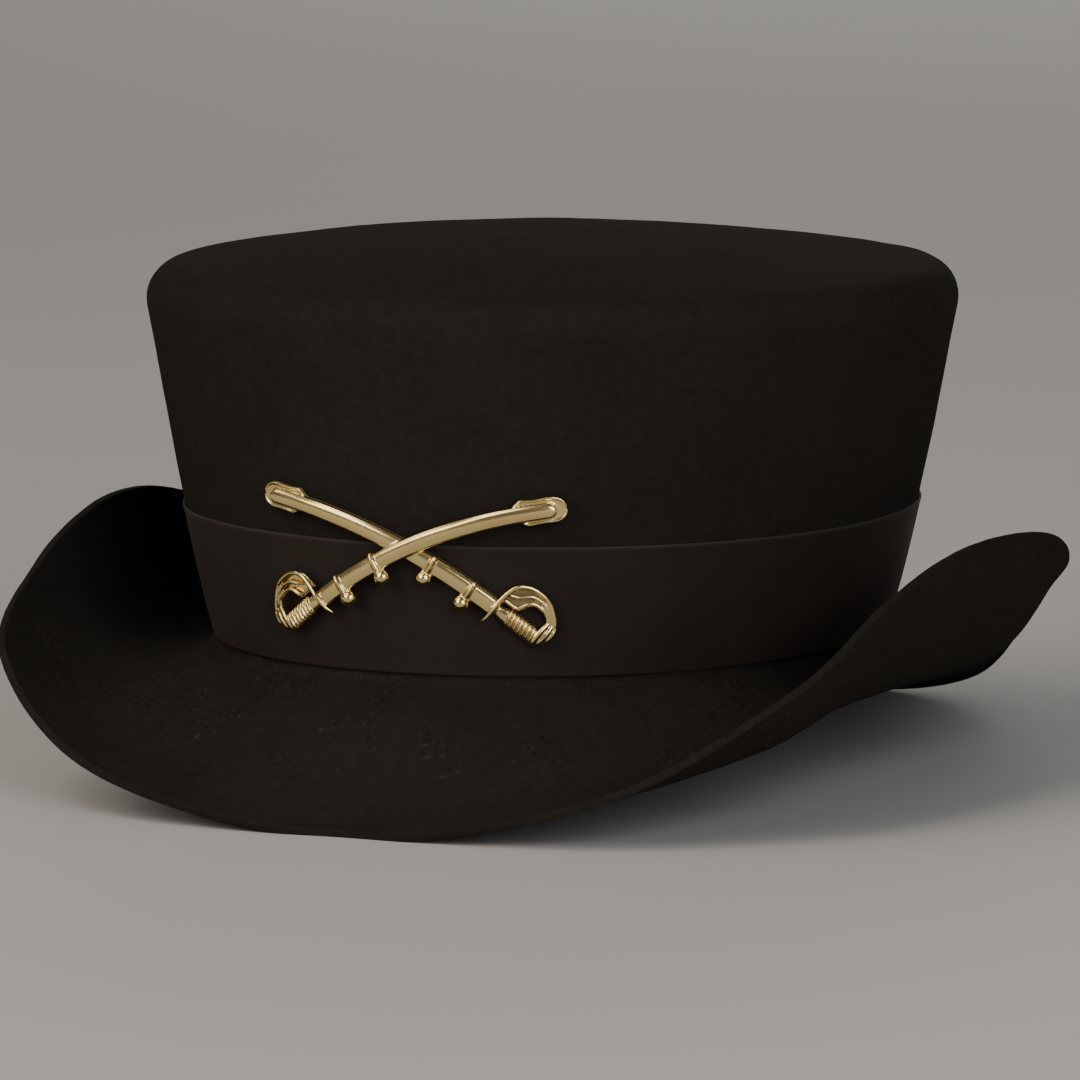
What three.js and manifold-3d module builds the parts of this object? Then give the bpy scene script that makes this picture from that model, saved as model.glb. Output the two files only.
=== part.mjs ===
// Wool felt topper: a low bell crown and a curled brim blocked from one felt hood, a ribbon band round the
// crown's foot, and a brass badge of two crossed sabres held by two posts and clutches.
//
// Millimetres, +Z up. The wearer faces -Y and the wearer's left is +X. The hat rests on z = 0 on the front
// and the back of its brim, and the origin is under the middle of its box. An angle round the hat is counted
// from the front, towards the wearer's left.
import * as THREE from "three";
import { mergeVertices } from "three/addons/utils/BufferGeometryUtils.js";
import Module from "manifold-3d";

const wasm = await Module();
wasm.setup();

// ---------- driving dimensions ----------
const DEG = Math.PI / 180;
const FELT = 2.2; // wall of the felt, crown and brim alike
const GAP = 0.3; // between pieces that touch on the real hat

// Crown, on the felt's outer face. An oval is a half length (front to back) and a half width.
const FOOT = { length: 100, width: 86.3, z: 34.3 }; // where the crown meets the brim
const WIDEST = { length: 107, width: 108, z: 123.9 }; // just under the tip's rounded edge
const OVAL_POWER = 2.1; // 2 is an ellipse, more is squarer
const FLARE_POWER = 0.82; // under 1: the wall bells out most near its foot
const TIP_EDGE_RADIUS = 9.5;
const TIP_DOME = 8; // rise of the tip inside its rounded edge
const FOLD = 2.6; // the tight break between crown and brim reaches this far up and out

// Brim, on the felt's upper face. Reach and rise take the edge from the crown's foot, in mm; leave and edge
// are the slopes at the foot and at the edge, in degrees above level. One row for each section.
const BRIM_STEP = 15;
const BRIM_SECTIONS = [
  { turn: 0, reach: 45.5, rise: -34.5, leave: -20, edge: -26 },
  { turn: 15, reach: 52.2, rise: -29.4, leave: -21.5, edge: -18 },
  { turn: 30, reach: 62.3, rise: -17.6, leave: -23.5, edge: 16 },
  { turn: 45, reach: 63, rise: 4.2, leave: -26.5, edge: 53 },
  { turn: 60, reach: 47.8, rise: 21.1, leave: -31, edge: 80 },
  { turn: 75, reach: 40.2, rise: 29.5, leave: -34, edge: 94 },
  { turn: 90, reach: 40.5, rise: 31.5, leave: -37.5, edge: 98 },
  { turn: 105, reach: 45.2, rise: 28.2, leave: -41, edge: 87 },
  { turn: 120, reach: 49.2, rise: 17.2, leave: -42.5, edge: 55 },
  { turn: 135, reach: 50.5, rise: 1, leave: -41, edge: 22 },
  { turn: 150, reach: 56, rise: -24.5, leave: -35.5, edge: -18 },
  { turn: 165, reach: 53, rise: -33, leave: -29.5, edge: -36 },
  { turn: 180, reach: 52, rise: -34.5, leave: -25, edge: -40 },
];
const FOOT_HANDLE = 0.6; // how long the section keeps its slope at the foot, as a share of its chord
const EDGE_HANDLE = 0.45; // and at the edge
const REST_SOFTNESS = 1; // over this height the brim bends into the part that is pressed flat by its rest
const LIES_DOWN = 0.3; // the lower face rests on the surface where it comes this near

// Ribbon band
const BAND = { thickness: 0.9, low: 36.3, high: 70.9 };

// Badge, laid out flat on the crown's front: s runs round the crown from the front towards the wearer's
// left, z is the height, and d stands out from the badge's back.
const CROSSING = { s: 1.3, z: 70.1 }; // where the two sabres cross, a little to the wearer's left
const SABRE = {
  slope: 25.8, // where they cross, degrees
  bow: 125, // radius that the whole sabre curves to
  guardAt: -28, // along the sabre from the crossing
  tipAt: 42.6,
  halfWidth: 2.3,
  tipHalfWidth: 1.7,
  thick: 1.7,
  bevel: 0.7,
};
const OVER_LIFT = 1.3; // the upper sabre rides this much higher where they cross
const POST = { s: 15.2, z: -8, radius: 1.1, hole: 1.5 }; // s and z from the crossing
const CLUTCH = { radius: 4.6, bore: 1.5, height: 2.6, floor: 0.8 };

const AROUND = 64; // sections round the felt and the band

// ---------- colours ----------
const feltMaterial = new THREE.MeshStandardMaterial({ color: 0x1d1a17, roughness: 0.95, metalness: 0 });
const ribbonMaterial = new THREE.MeshStandardMaterial({ color: 0x2b2522, roughness: 0.8, metalness: 0 });
const brassMaterial = new THREE.MeshStandardMaterial({ color: 0xc2a25c, roughness: 0.32, metalness: 1 });

// ---------- closed meshes and solids ----------
function geometryOf(points, faces) {
  const geometry = new THREE.BufferGeometry().setFromPoints(points);
  geometry.setIndex(faces.flat());
  geometry.computeVertexNormals();
  return geometry;
}

function solidOf(geometry) {
  const bare = geometry.clone();
  bare.deleteAttribute("normal");
  bare.deleteAttribute("uv");
  const merged = mergeVertices(bare, 1e-4);
  return new wasm.Manifold(
    new wasm.Mesh({
      numProp: 3,
      vertProperties: merged.attributes.position.array,
      triVerts: new Uint32Array(merged.index.array),
    }),
  );
}

function geometryOfSolid(solid) {
  const mesh = solid.getMesh();
  const geometry = new THREE.BufferGeometry();
  geometry.setAttribute("position", new THREE.BufferAttribute(mesh.vertProperties, 3));
  geometry.setIndex(new THREE.BufferAttribute(mesh.triVerts, 1));
  geometry.computeVertexNormals();
  return geometry;
}

// Skins rings of the same number of points into one closed body, its ends capped.
function loft(rings) {
  const count = rings[0].length;
  const last = (rings.length - 1) * count;
  const faces = [];
  for (let r = 0; r < rings.length - 1; r += 1) {
    for (let i = 0; i < count; i += 1) {
      const a = r * count + i;
      const b = r * count + ((i + 1) % count);
      faces.push([a, b, b + count], [a, b + count, a + count]);
    }
  }
  for (let i = 1; i < count - 1; i += 1) {
    faces.push([0, i + 1, i], [last, last + i, last + i + 1]);
  }
  const geometry = geometryOf(rings.flat(), faces);
  return volumeOf(geometry) < 0 ? turnedInsideOut(geometry) : geometry;
}

function volumeOf(geometry) {
  const p = geometry.attributes.position;
  const at = (i) => new THREE.Vector3().fromBufferAttribute(p, i);
  const index = geometry.index.array;
  let six = 0;
  for (let i = 0; i < index.length; i += 3) {
    six += at(index[i]).dot(at(index[i + 1]).cross(at(index[i + 2])));
  }
  return six / 6;
}

function turnedInsideOut(geometry) {
  const index = Array.from(geometry.index.array);
  for (let i = 0; i < index.length; i += 3) {
    [index[i + 1], index[i + 2]] = [index[i + 2], index[i + 1]];
  }
  geometry.setIndex(index);
  geometry.computeVertexNormals();
  return geometry;
}

// ---------- the crown's wall ----------
// A point of an oval, with the direction straight out of it.
function ovalPoint(length, width, angle) {
  const c = Math.cos(angle);
  const s = Math.sin(angle);
  const size = (Math.abs(c) ** OVAL_POWER + Math.abs(s) ** OVAL_POWER) ** (-1 / OVAL_POWER);
  const x = width * size * s;
  const y = -length * size * c;
  const out = new THREE.Vector3(
    (Math.sign(x) * Math.abs(x / width) ** (OVAL_POWER - 1)) / width,
    (Math.sign(y) * Math.abs(y / length) ** (OVAL_POWER - 1)) / length,
    0,
  ).normalize();
  return { x, y, out };
}

function wallOval(z) {
  const share = Math.max(z - FOOT.z, 0) / (WIDEST.z - FOOT.z);
  const grow = share ** FLARE_POWER;
  return {
    length: FOOT.length + (WIDEST.length - FOOT.length) * grow,
    width: FOOT.width + (WIDEST.width - FOOT.width) * grow,
  };
}

function wallPoint(angle, z, standOff = 0) {
  const oval = wallOval(z);
  const { x, y, out } = ovalPoint(oval.length, oval.width, angle);
  return new THREE.Vector3(x, y, z).addScaledVector(out, standOff);
}

// ---------- felt body ----------
// Even, smooth and closed: the column's value at any angle, through the brim's sections.
function brimValue(column, angle) {
  const last = BRIM_SECTIONS.length - 1;
  const turned = Math.abs(Math.atan2(Math.sin(angle), Math.cos(angle))) / DEG / BRIM_STEP;
  const from = Math.min(Math.floor(turned), last - 1);
  const t = turned - from;
  const row = (i) => BRIM_SECTIONS[i < 0 ? -i : i > last ? 2 * last - i : i][column];
  const [a, b, c, d] = [row(from - 1), row(from), row(from + 1), row(from + 2)];
  return b + 0.5 * t * (c - a + t * (2 * a - 5 * b + 4 * c - d + t * (3 * (b - c) + d - a)));
}

// The brim's upper face in the section at an angle: x is out from the crown's foot, y is up from it.
function brimSection(angle) {
  const reach = brimValue("reach", angle);
  const rise = brimValue("rise", angle);
  const leave = brimValue("leave", angle) * DEG;
  const edge = brimValue("edge", angle) * DEG;
  const chord = Math.hypot(reach, rise);
  const away = (from, slope, length) =>
    new THREE.Vector2(from.x + Math.cos(slope) * length, from.y + Math.sin(slope) * length);
  const foot = new THREE.Vector2(0, 0);
  const end = new THREE.Vector2(reach, rise);
  return new THREE.CubicBezierCurve(
    foot,
    away(foot, leave, FOOT_HANDLE * chord),
    away(end, edge, -EDGE_HANDLE * chord),
    end,
  );
}

// A height, held up to where the surface under the hat lets it go, with a soft bend into the flat.
function pressed(z, lowest) {
  const above = z - lowest;
  if (above >= REST_SOFTNESS) return z;
  if (above <= -REST_SOFTNESS) return lowest;
  return lowest + (above + REST_SOFTNESS) ** 2 / (4 * REST_SOFTNESS);
}

// Rings of the felt's outer face, from the middle of the tip to the brim's edge. Each is a function of the
// angle, and the first is a single point.
function feltRings() {
  const rings = [];
  const lean = Math.atan(((WIDEST.width - FOOT.width) * FLARE_POWER) / (WIDEST.z - FOOT.z));
  const rim = TIP_EDGE_RADIUS * (1 - Math.cos(lean));
  const flatTurn = Math.PI / 2 - Math.atan((2 * TIP_DOME) / WIDEST.width);
  const edgeOval = (turn) => ({
    inset: TIP_EDGE_RADIUS * (1 - Math.cos(turn)) - rim,
    z: WIDEST.z + TIP_EDGE_RADIUS * (Math.sin(turn) + Math.sin(lean)),
  });
  const tip = edgeOval(flatTurn);
  const tipShares = [0.3, 0.6, 0.85];
  const edgeSteps = 4;
  const wallSteps = 5;
  const foldSteps = 4;
  const brimShares = [0.12, 0.26, 0.4, 0.54, 0.67, 0.79, 0.88, 0.95, 1];

  rings.push(() => new THREE.Vector3(0, 0, tip.z + TIP_DOME));
  for (const share of tipShares) {
    rings.push((angle) => {
      const oval = ovalPoint(WIDEST.length - tip.inset, WIDEST.width - tip.inset, angle);
      return new THREE.Vector3(oval.x * share, oval.y * share, tip.z + TIP_DOME * (1 - share ** 2));
    });
  }
  for (let i = edgeSteps; i > 0; i -= 1) {
    const { inset, z } = edgeOval(-lean + ((flatTurn + lean) * i) / edgeSteps);
    rings.push((angle) => {
      const oval = ovalPoint(WIDEST.length - inset, WIDEST.width - inset, angle);
      return new THREE.Vector3(oval.x, oval.y, z);
    });
  }
  for (let i = wallSteps; i >= 0; i -= 1) {
    const z = FOOT.z + FOLD + ((WIDEST.z - FOOT.z - FOLD) * i) / wallSteps;
    rings.push((angle) => wallPoint(angle, z));
  }
  const fromFoot = (angle, point) => {
    const { x, y, out } = ovalPoint(FOOT.length, FOOT.width, angle);
    return new THREE.Vector3(x, y, FOOT.z + point.y).addScaledVector(out, point.x);
  };
  for (let i = 1; i <= foldSteps; i += 1) {
    rings.push((angle) => {
      const brim = brimSection(angle);
      const above = wallPoint(angle, FOOT.z + FOLD).sub(wallPoint(angle, FOOT.z));
      const wallEnd = new THREE.Vector2(Math.hypot(above.x, above.y), FOLD);
      const brimStart = brim.getPointAt(FOLD / brim.getLength());
      const fold = new THREE.QuadraticBezierCurve(wallEnd, new THREE.Vector2(0, 0), brimStart);
      return fromFoot(angle, fold.getPoint(i / foldSteps));
    });
  }
  for (const share of brimShares) {
    rings.push((angle) => {
      const brim = brimSection(angle);
      const start = FOLD / brim.getLength();
      const point = fromFoot(angle, brim.getPointAt(1 - (1 - start) * (1 - share)));
      point.z = pressed(point.z, FELT);
      return point;
    });
  }
  return rings;
}

// The felt: the outer face, the same face one wall thickness further in, and the raw edge between them.
function makeFeltBody() {
  const rings = feltRings();
  const outer = rings.map((ring) =>
    Array.from({ length: AROUND }, (_, i) => ring((i / AROUND) * 2 * Math.PI)),
  );
  const lastRing = rings.length - 1;
  const inner = outer.map((ring, r) =>
    ring.map((point, i) => {
      const before = outer[Math.max(r - 1, 0)][i];
      const after = outer[Math.min(r + 1, lastRing)][i];
      const left = ring[(i + 1) % AROUND];
      const right = ring[(i + AROUND - 1) % AROUND];
      const down = new THREE.Vector3().subVectors(after, before);
      const round = new THREE.Vector3().subVectors(left, right);
      const normal = r === 0 ? new THREE.Vector3(0, 0, 1) : down.cross(round).normalize();
      const inside = point.clone().addScaledVector(normal, -FELT);
      if (inside.z < LIES_DOWN) inside.z = 0;
      return inside;
    }),
  );

  const points = [outer[0][0], inner[0][0]];
  const outerStart = points.length;
  for (const ring of outer.slice(1)) points.push(...ring);
  const innerStart = points.length;
  for (const ring of inner.slice(1)) points.push(...ring);

  const faces = [];
  for (let i = 0; i < AROUND; i += 1) {
    const next = (i + 1) % AROUND;
    faces.push([0, outerStart + i, outerStart + next], [1, innerStart + next, innerStart + i]);
    for (let r = 0; r < lastRing - 1; r += 1) {
      const [a, b] = [outerStart + r * AROUND + i, outerStart + r * AROUND + next];
      const [c, d] = [innerStart + r * AROUND + i, innerStart + r * AROUND + next];
      faces.push([a, a + AROUND, b + AROUND], [a, b + AROUND, b]);
      faces.push([c, d + AROUND, c + AROUND], [c, d, d + AROUND]);
    }
    const edge = (lastRing - 1) * AROUND;
    const [a, b] = [outerStart + edge + i, outerStart + edge + next];
    const [c, d] = [innerStart + edge + i, innerStart + edge + next];
    faces.push([a, c, d], [a, d, b]);
  }
  return geometryOf(points, faces);
}

// ---------- ribbon band ----------
function makeBand() {
  const heights = [0, 0.33, 0.67, 1].map((share) => BAND.low + (BAND.high - BAND.low) * share);
  const sections = [];
  for (let i = 0; i < AROUND; i += 1) {
    const angle = (i / AROUND) * 2 * Math.PI;
    const outside = heights.map((z) => wallPoint(angle, z, GAP + BAND.thickness));
    const inside = heights.map((z) => wallPoint(angle, z, GAP)).reverse();
    sections.push([...outside, ...inside]);
  }
  const count = sections[0].length;
  const faces = [];
  for (let i = 0; i < AROUND; i += 1) {
    const next = (i + 1) % AROUND;
    for (let j = 0; j < count; j += 1) {
      const along = (j + 1) % count;
      const [a, b] = [i * count + j, next * count + j];
      const [c, d] = [i * count + along, next * count + along];
      faces.push([a, b, d], [a, d, c]);
    }
  }
  return geometryOf(sections.flat(), faces);
}

// ---------- badge, made flat ----------
// A place on the sabre's middle line: along is from the crossing towards the tip, across is upwards.
function onSabre(along, across = 0, d = 0) {
  const slope = SABRE.slope * DEG - along / SABRE.bow;
  const start = SABRE.slope * DEG;
  const s = SABRE.bow * (Math.sin(start) - Math.sin(slope));
  const z = SABRE.bow * (Math.cos(slope) - Math.cos(start));
  return new THREE.Vector3(s - Math.sin(slope) * across, z + Math.cos(slope) * across, d);
}

// A round bar along a curve of the flat badge, thinner at its ends if so told.
function bar(points, radius, steps, endShare = 1, sides = 6) {
  const curve = new THREE.CatmullRomCurve3(points);
  const rings = [];
  for (let i = 0; i <= steps; i += 1) {
    const at = i / steps;
    const middle = curve.getPoint(at);
    const along = curve.getTangent(at);
    const side = new THREE.Vector3(-along.y, along.x, 0).normalize();
    const share = endShare + (1 - endShare) * Math.min(1, 4 * Math.min(at, 1 - at));
    rings.push(
      Array.from({ length: sides }, (_, k) => {
        const turn = ((k + 0.5) / sides) * 2 * Math.PI;
        return middle
          .clone()
          .addScaledVector(side, Math.cos(turn) * radius * share)
          .add(new THREE.Vector3(0, 0, Math.sin(turn) * radius * share));
      }),
    );
  }
  return solidOf(loft(rings));
}

// A flat strip with bevelled long edges, given by its stations: along, half width up, half width down.
function strip(stations, place, thick, bevel, base = 0) {
  const rings = stations.map(({ along, up, down }) => [
    place(along, -down, base),
    place(along, -down, base + thick - bevel),
    place(along, -down + bevel, base + thick),
    place(along, up - bevel, base + thick),
    place(along, up, base + thick - bevel),
    place(along, up, base),
  ]);
  return solidOf(loft(rings));
}

// Half widths of a strip that ends in a half circle.
function roundEnded(from, to, half, endHalf, steps) {
  const stations = [];
  const straight = to - endHalf;
  for (let i = 0; i <= steps; i += 1) {
    const share = i / steps;
    const width = half + (endHalf - half) * share;
    stations.push({ along: from + (straight - from) * share, up: width, down: width });
  }
  for (const turn of [30, 60, 80]) {
    const width = endHalf * Math.cos(turn * DEG);
    stations.push({ along: straight + endHalf * Math.sin(turn * DEG), up: width, down: width });
  }
  return stations;
}

// The rim round the scabbard's tip, with a shoulder where it begins on either side.
const DRAG = { from: 30.5, shoulder: 33, out: 1.5, tipOut: 1.6, thick: 1.5 };
function makeDrag() {
  const stations = [
    { along: DRAG.from, up: SABRE.tipHalfWidth + 0.4, down: SABRE.tipHalfWidth + 0.4 },
    { along: DRAG.shoulder, up: SABRE.tipHalfWidth + 1.5, down: SABRE.tipHalfWidth + 1.1 },
    { along: 36.5, up: SABRE.tipHalfWidth + 1.2, down: SABRE.tipHalfWidth + 1.2 },
    { along: 40.7, up: SABRE.tipHalfWidth + DRAG.out, down: SABRE.tipHalfWidth + DRAG.out },
    { along: 42.9, up: 2.6, down: 2.6 },
    { along: SABRE.tipAt + DRAG.tipOut, up: 1.1, down: 1.1 },
  ];
  return strip(stations, onSabre, DRAG.thick, 0.4);
}

// Two bands round the scabbard, each with a ball hanging from its lower end.
const SUSPENSION = { along: [-20.1, -8.4], bar: 0.6, ball: 1.55, hang: 1.5 };
function makeSuspension(along) {
  const top = onSabre(along, SABRE.halfWidth + 0.3, SABRE.thick - 0.1);
  const low = onSabre(along, -SABRE.halfWidth - SUSPENSION.hang / 2, SABRE.thick - 0.1);
  const ball = new THREE.SphereGeometry(SUSPENSION.ball, 8, 6);
  const middle = onSabre(along, -SABRE.halfWidth - SUSPENSION.hang, SUSPENSION.ball);
  ball.translate(middle.x, middle.y, middle.z);
  return bar([top, low], SUSPENSION.bar, 2).add(solidOf(ball));
}

// The hilt in its own flat frame: x runs from the guard to the pommel, y is towards the bow of the guard.
const HILT = { slope: 38, spread: 0.5 }; // the upper sabre's hilt is spread up by this, the lower one's down
function onHilt(x, y, d = 0) {
  const root = onSabre(SABRE.guardAt);
  const turn = (180 + HILT.slope) * DEG;
  return new THREE.Vector3(
    root.x + x * Math.cos(turn) + y * Math.sin(turn),
    root.y + x * Math.sin(turn) - y * Math.cos(turn),
    d,
  );
}

// Bars of the guard and the pommel, in the hilt's frame.
const HILT_BARS = [
  {
    name: "quillon and outer bow",
    radius: 0.75,
    ends: 0.5,
    steps: 14,
    route: [
      [-0.7, -5.2],
      [-0.45, -2.5],
      [-0.45, 0.5],
      [-0.3, 3.4],
      [0.1, 6.4],
      [1.5, 9.1],
      [4.1, 10.4],
      [7.2, 10.6],
      [10.2, 9.5],
      [12.8, 7.4],
      [14.2, 5.8],
    ],
  },
  {
    name: "middle branch",
    radius: 0.6,
    ends: 0.8,
    steps: 9,
    route: [
      [0.2, 5.6],
      [2.6, 6.3],
      [4.4, 8.1],
      [6.6, 9.1],
      [9.8, 8.6],
      [12.4, 6.9],
      [13.4, 5.6],
    ],
  },
  {
    name: "inner branch",
    radius: 0.6,
    ends: 0.8,
    steps: 10,
    route: [
      [-0.2, 3.8],
      [2, 3.7],
      [4.2, 3.9],
      [5.6, 6.2],
      [7.5, 7.6],
      [10.2, 7.5],
      [12.4, 5.9],
      [13, 4.9],
    ],
  },
  {
    name: "pommel, first rib",
    radius: 0.85,
    ends: 0.7,
    steps: 4,
    route: [
      [12.85, 5.7],
      [12.2, 2.6],
      [12.5, -1.8],
    ],
  },
  {
    name: "pommel, second rib",
    radius: 0.85,
    ends: 0.7,
    steps: 4,
    route: [
      [13.6, 6],
      [13.8, 2.8],
      [13.2, -1.3],
    ],
  },
  {
    name: "pommel, last rib",
    radius: 0.8,
    ends: 0.7,
    steps: 4,
    route: [
      [14.2, 6.4],
      [14.9, 3.6],
      [14.3, -0.2],
    ],
  },
];

// The grip, from the ferrule by the guard to the pommel, and the ribs of wire round it.
const GRIP = { thick: 1.9, bevel: 0.6 };
const GRIP_STATIONS = [
  { along: -0.5, up: 1.3, down: 1 },
  { along: 1.6, up: 1.4, down: 1.1 },
  { along: 3.2, up: 2.3, down: 1.6 },
  { along: 7, up: 2.5, down: 1.8 },
  { along: 12.2, up: 2.4, down: 1.8 },
];
const RIBS = { count: 7, first: 4, spacing: 1.18, lean: 0.85, radius: 0.36, high: 2.4, low: -1.8 };

function makeHilt() {
  const parts = HILT_BARS.map(({ radius, ends, steps, route }) => {
    const points = route.map(([x, y]) => onHilt(x, y, radius + 0.5));
    return bar(points, radius, steps, ends);
  });
  parts.push(strip(GRIP_STATIONS, onHilt, GRIP.thick, GRIP.bevel));
  for (let i = 0; i < RIBS.count; i += 1) {
    const x = RIBS.first + i * RIBS.spacing;
    const top = onHilt(x - RIBS.lean / 2, RIBS.high, GRIP.thick - 0.1);
    const low = onHilt(x + RIBS.lean / 2, RIBS.low, GRIP.thick - 0.1);
    parts.push(bar([top, low], RIBS.radius, 1, 1, 5));
  }
  return parts;
}

// One sabre in its scabbard; spread moves its hilt towards the guard's bow.
function makeSabre(spread) {
  const scabbard = roundEnded(SABRE.guardAt, SABRE.tipAt, SABRE.halfWidth, SABRE.tipHalfWidth, 7);
  const parts = [strip(scabbard, onSabre, SABRE.thick, SABRE.bevel, 0.6), makeDrag()];
  const shift = onHilt(0, spread).sub(onHilt(0, 0));
  const hilt = makeHilt().map((piece) => piece.translate([shift.x, shift.y, 0]));
  parts.push(...SUSPENSION.along.map(makeSuspension), ...hilt);
  return parts.reduce((whole, part) => whole.add(part));
}

function mirrored(solid) {
  return solid.mirror([1, 0, 0]);
}

// ---------- badge, laid on the crown ----------
// The angle at which an arc of the crown's wall, counted from the front, is s long.
function angleAt(s, z) {
  const steps = 24;
  const oval = wallOval(z);
  let angle = 0;
  for (let i = 0; i < steps; i += 1) {
    const here = ovalPoint(oval.length, oval.width, angle);
    const there = ovalPoint(oval.length, oval.width, angle + 0.001);
    angle += ((s / steps) * 0.001) / Math.hypot(there.x - here.x, there.y - here.y);
  }
  return angle;
}

// The wall's outward direction, with the crown's flare in it.
function wallNormal(angle, z) {
  const up = wallPoint(angle, z + 1).sub(wallPoint(angle, z - 1));
  const round = wallPoint(angle + 0.01, z).sub(wallPoint(angle - 0.01, z));
  return round.cross(up).normalize();
}

const BADGE_BACK = GAP + BAND.thickness + GAP; // from the felt to the badge's back

// The crown's angle and height for a place on the flat badge, which is counted from the crossing.
function behindBadge(s, z) {
  const height = CROSSING.z + z;
  return { angle: angleAt(CROSSING.s + s, height), height };
}

function onCrown(s, z, d) {
  const { angle, height } = behindBadge(s, z);
  return wallPoint(angle, height).addScaledVector(wallNormal(angle, height), BADGE_BACK + d);
}

function makeBadge() {
  const under = mirrored(makeSabre(-HILT.spread));
  const over = makeSabre(HILT.spread).translate([0, 0, OVER_LIFT]);
  const plate = strip(
    [
      { along: -6, up: 1.6, down: 1.6 },
      { along: 6, up: 1.6, down: 1.6 },
    ],
    onSabre,
    OVER_LIFT + 1,
    0.3,
  );
  let flat = under.add(over).add(plate);
  const postLength = BADGE_BACK + FELT + GAP + CLUTCH.height - CLUTCH.floor - GAP;
  for (const side of [-1, 1]) {
    const post = new THREE.CylinderGeometry(POST.radius, POST.radius, postLength + 2.4, 12);
    post.rotateX(Math.PI / 2);
    post.translate(side * POST.s, POST.z, 1.2 - postLength / 2);
    flat = flat.add(solidOf(post));
  }
  const geometry = geometryOfSolid(flat);
  const places = geometry.attributes.position;
  for (let i = 0; i < places.count; i += 1) {
    const place = onCrown(places.getX(i), places.getY(i), places.getZ(i));
    places.setXYZ(i, place.x, place.y, place.z);
  }
  geometry.computeVertexNormals();
  return geometry;
}

// A post's hole, cut through the felt and the band.
function postHole(side) {
  const length = 14;
  const hole = new THREE.CylinderGeometry(POST.hole, POST.hole, length, 16);
  hole.rotateX(Math.PI / 2);
  return solidOf(hole.applyMatrix4(postFrame(side, 0)));
}

// A frame on a post: its z axis stands out of the crown, and its origin is d from the badge's back.
function postFrame(side, d) {
  const { angle, height } = behindBadge(side * POST.s, POST.z);
  const turn = new THREE.Quaternion().setFromUnitVectors(
    new THREE.Vector3(0, 0, 1),
    wallNormal(angle, height),
  );
  return new THREE.Matrix4().compose(onCrown(side * POST.s, POST.z, d), turn, new THREE.Vector3(1, 1, 1));
}

function withPostHoles(geometry) {
  return geometryOfSolid(solidOf(geometry).subtract(postHole(-1)).subtract(postHole(1)));
}

// A round cap that is pushed onto the post from inside the crown.
function makeClutch(side) {
  const { radius, bore, height, floor } = CLUTCH;
  const profile = [
    [0, 0],
    [radius - 0.6, 0],
    [radius, 0.6],
    [radius, height],
    [bore, height],
    [bore, floor],
    [0, floor],
  ].map(([r, y]) => new THREE.Vector2(r, y));
  const clutch = new THREE.LatheGeometry(profile, 20);
  clutch.rotateX(Math.PI / 2);
  const back = -BADGE_BACK - FELT - GAP - height;
  return clutch.applyMatrix4(postFrame(side, back));
}

// ---------- the hat ----------
const felt = new THREE.Mesh(withPostHoles(makeFeltBody()), feltMaterial);
felt.name = "felt_body";
const band = new THREE.Mesh(withPostHoles(makeBand()), ribbonMaterial);
band.name = "hat_band";
const badge = new THREE.Mesh(makeBadge(), brassMaterial);
badge.name = "crossed_sabres";
const clutches = [
  ["post_clutch_right", -1],
  ["post_clutch_left", 1],
].map(([name, side]) => {
  const clutch = new THREE.Mesh(makeClutch(side), brassMaterial);
  clutch.name = name;
  return clutch;
});

// The brim reaches further at the back than at the front, so the crown stands a little forward of the middle.
const hat = new THREE.Group();
hat.add(felt, band, badge, ...clutches);
hat.position.y = -new THREE.Box3().setFromObject(felt).getCenter(new THREE.Vector3()).y;

const part = new THREE.Group();
part.add(hat);
export default part;
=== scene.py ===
"""Looks for the wool felt hat: blocked felt, ribbon band and a cast brass badge of crossed sabres.

The hat's shape is worked out here again from the same driving dimensions as the CAD solids, much finer.
Lengths are millimetres while a shape is being worked out, and metres (times MM) once it is a mesh. The
wearer faces -Y and the wearer's left is +X; an angle round the hat is counted from the front towards +X.
"""

import math

import bpy
import numpy as np
from mathutils import Matrix, Vector, noise


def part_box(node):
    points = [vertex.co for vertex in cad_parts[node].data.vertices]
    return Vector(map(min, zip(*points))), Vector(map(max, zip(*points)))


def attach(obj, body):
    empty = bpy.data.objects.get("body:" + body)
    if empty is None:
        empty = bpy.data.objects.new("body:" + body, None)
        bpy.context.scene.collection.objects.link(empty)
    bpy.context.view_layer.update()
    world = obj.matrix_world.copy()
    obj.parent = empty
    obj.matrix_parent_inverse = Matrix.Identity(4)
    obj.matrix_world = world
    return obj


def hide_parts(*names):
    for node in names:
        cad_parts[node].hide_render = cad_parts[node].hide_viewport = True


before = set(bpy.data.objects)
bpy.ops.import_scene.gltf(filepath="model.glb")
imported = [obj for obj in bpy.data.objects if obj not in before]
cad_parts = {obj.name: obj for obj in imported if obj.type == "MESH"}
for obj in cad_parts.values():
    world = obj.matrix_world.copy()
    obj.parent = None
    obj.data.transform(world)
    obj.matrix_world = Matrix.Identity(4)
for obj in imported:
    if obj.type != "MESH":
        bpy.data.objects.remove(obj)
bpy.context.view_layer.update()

MM = 0.001
DEG = math.pi / 180

# ---------- driving dimensions, as in the CAD part ----------
FELT = 2.2  # wall of the felt
GAP = 0.3  # between pieces that touch on the real hat

FOOT_LENGTH, FOOT_WIDTH, FOOT_Z = 100.0, 86.3, 34.3  # where the crown meets the brim, half sizes
WIDEST_LENGTH, WIDEST_WIDTH, WIDEST_Z = 107.0, 108.0, 123.9  # just under the tip's rounded edge
OVAL_POWER = 2.1
FLARE_POWER = 0.82
TIP_EDGE_RADIUS = 9.5
TIP_DOME = 8.0
FOLD = 2.6

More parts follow.
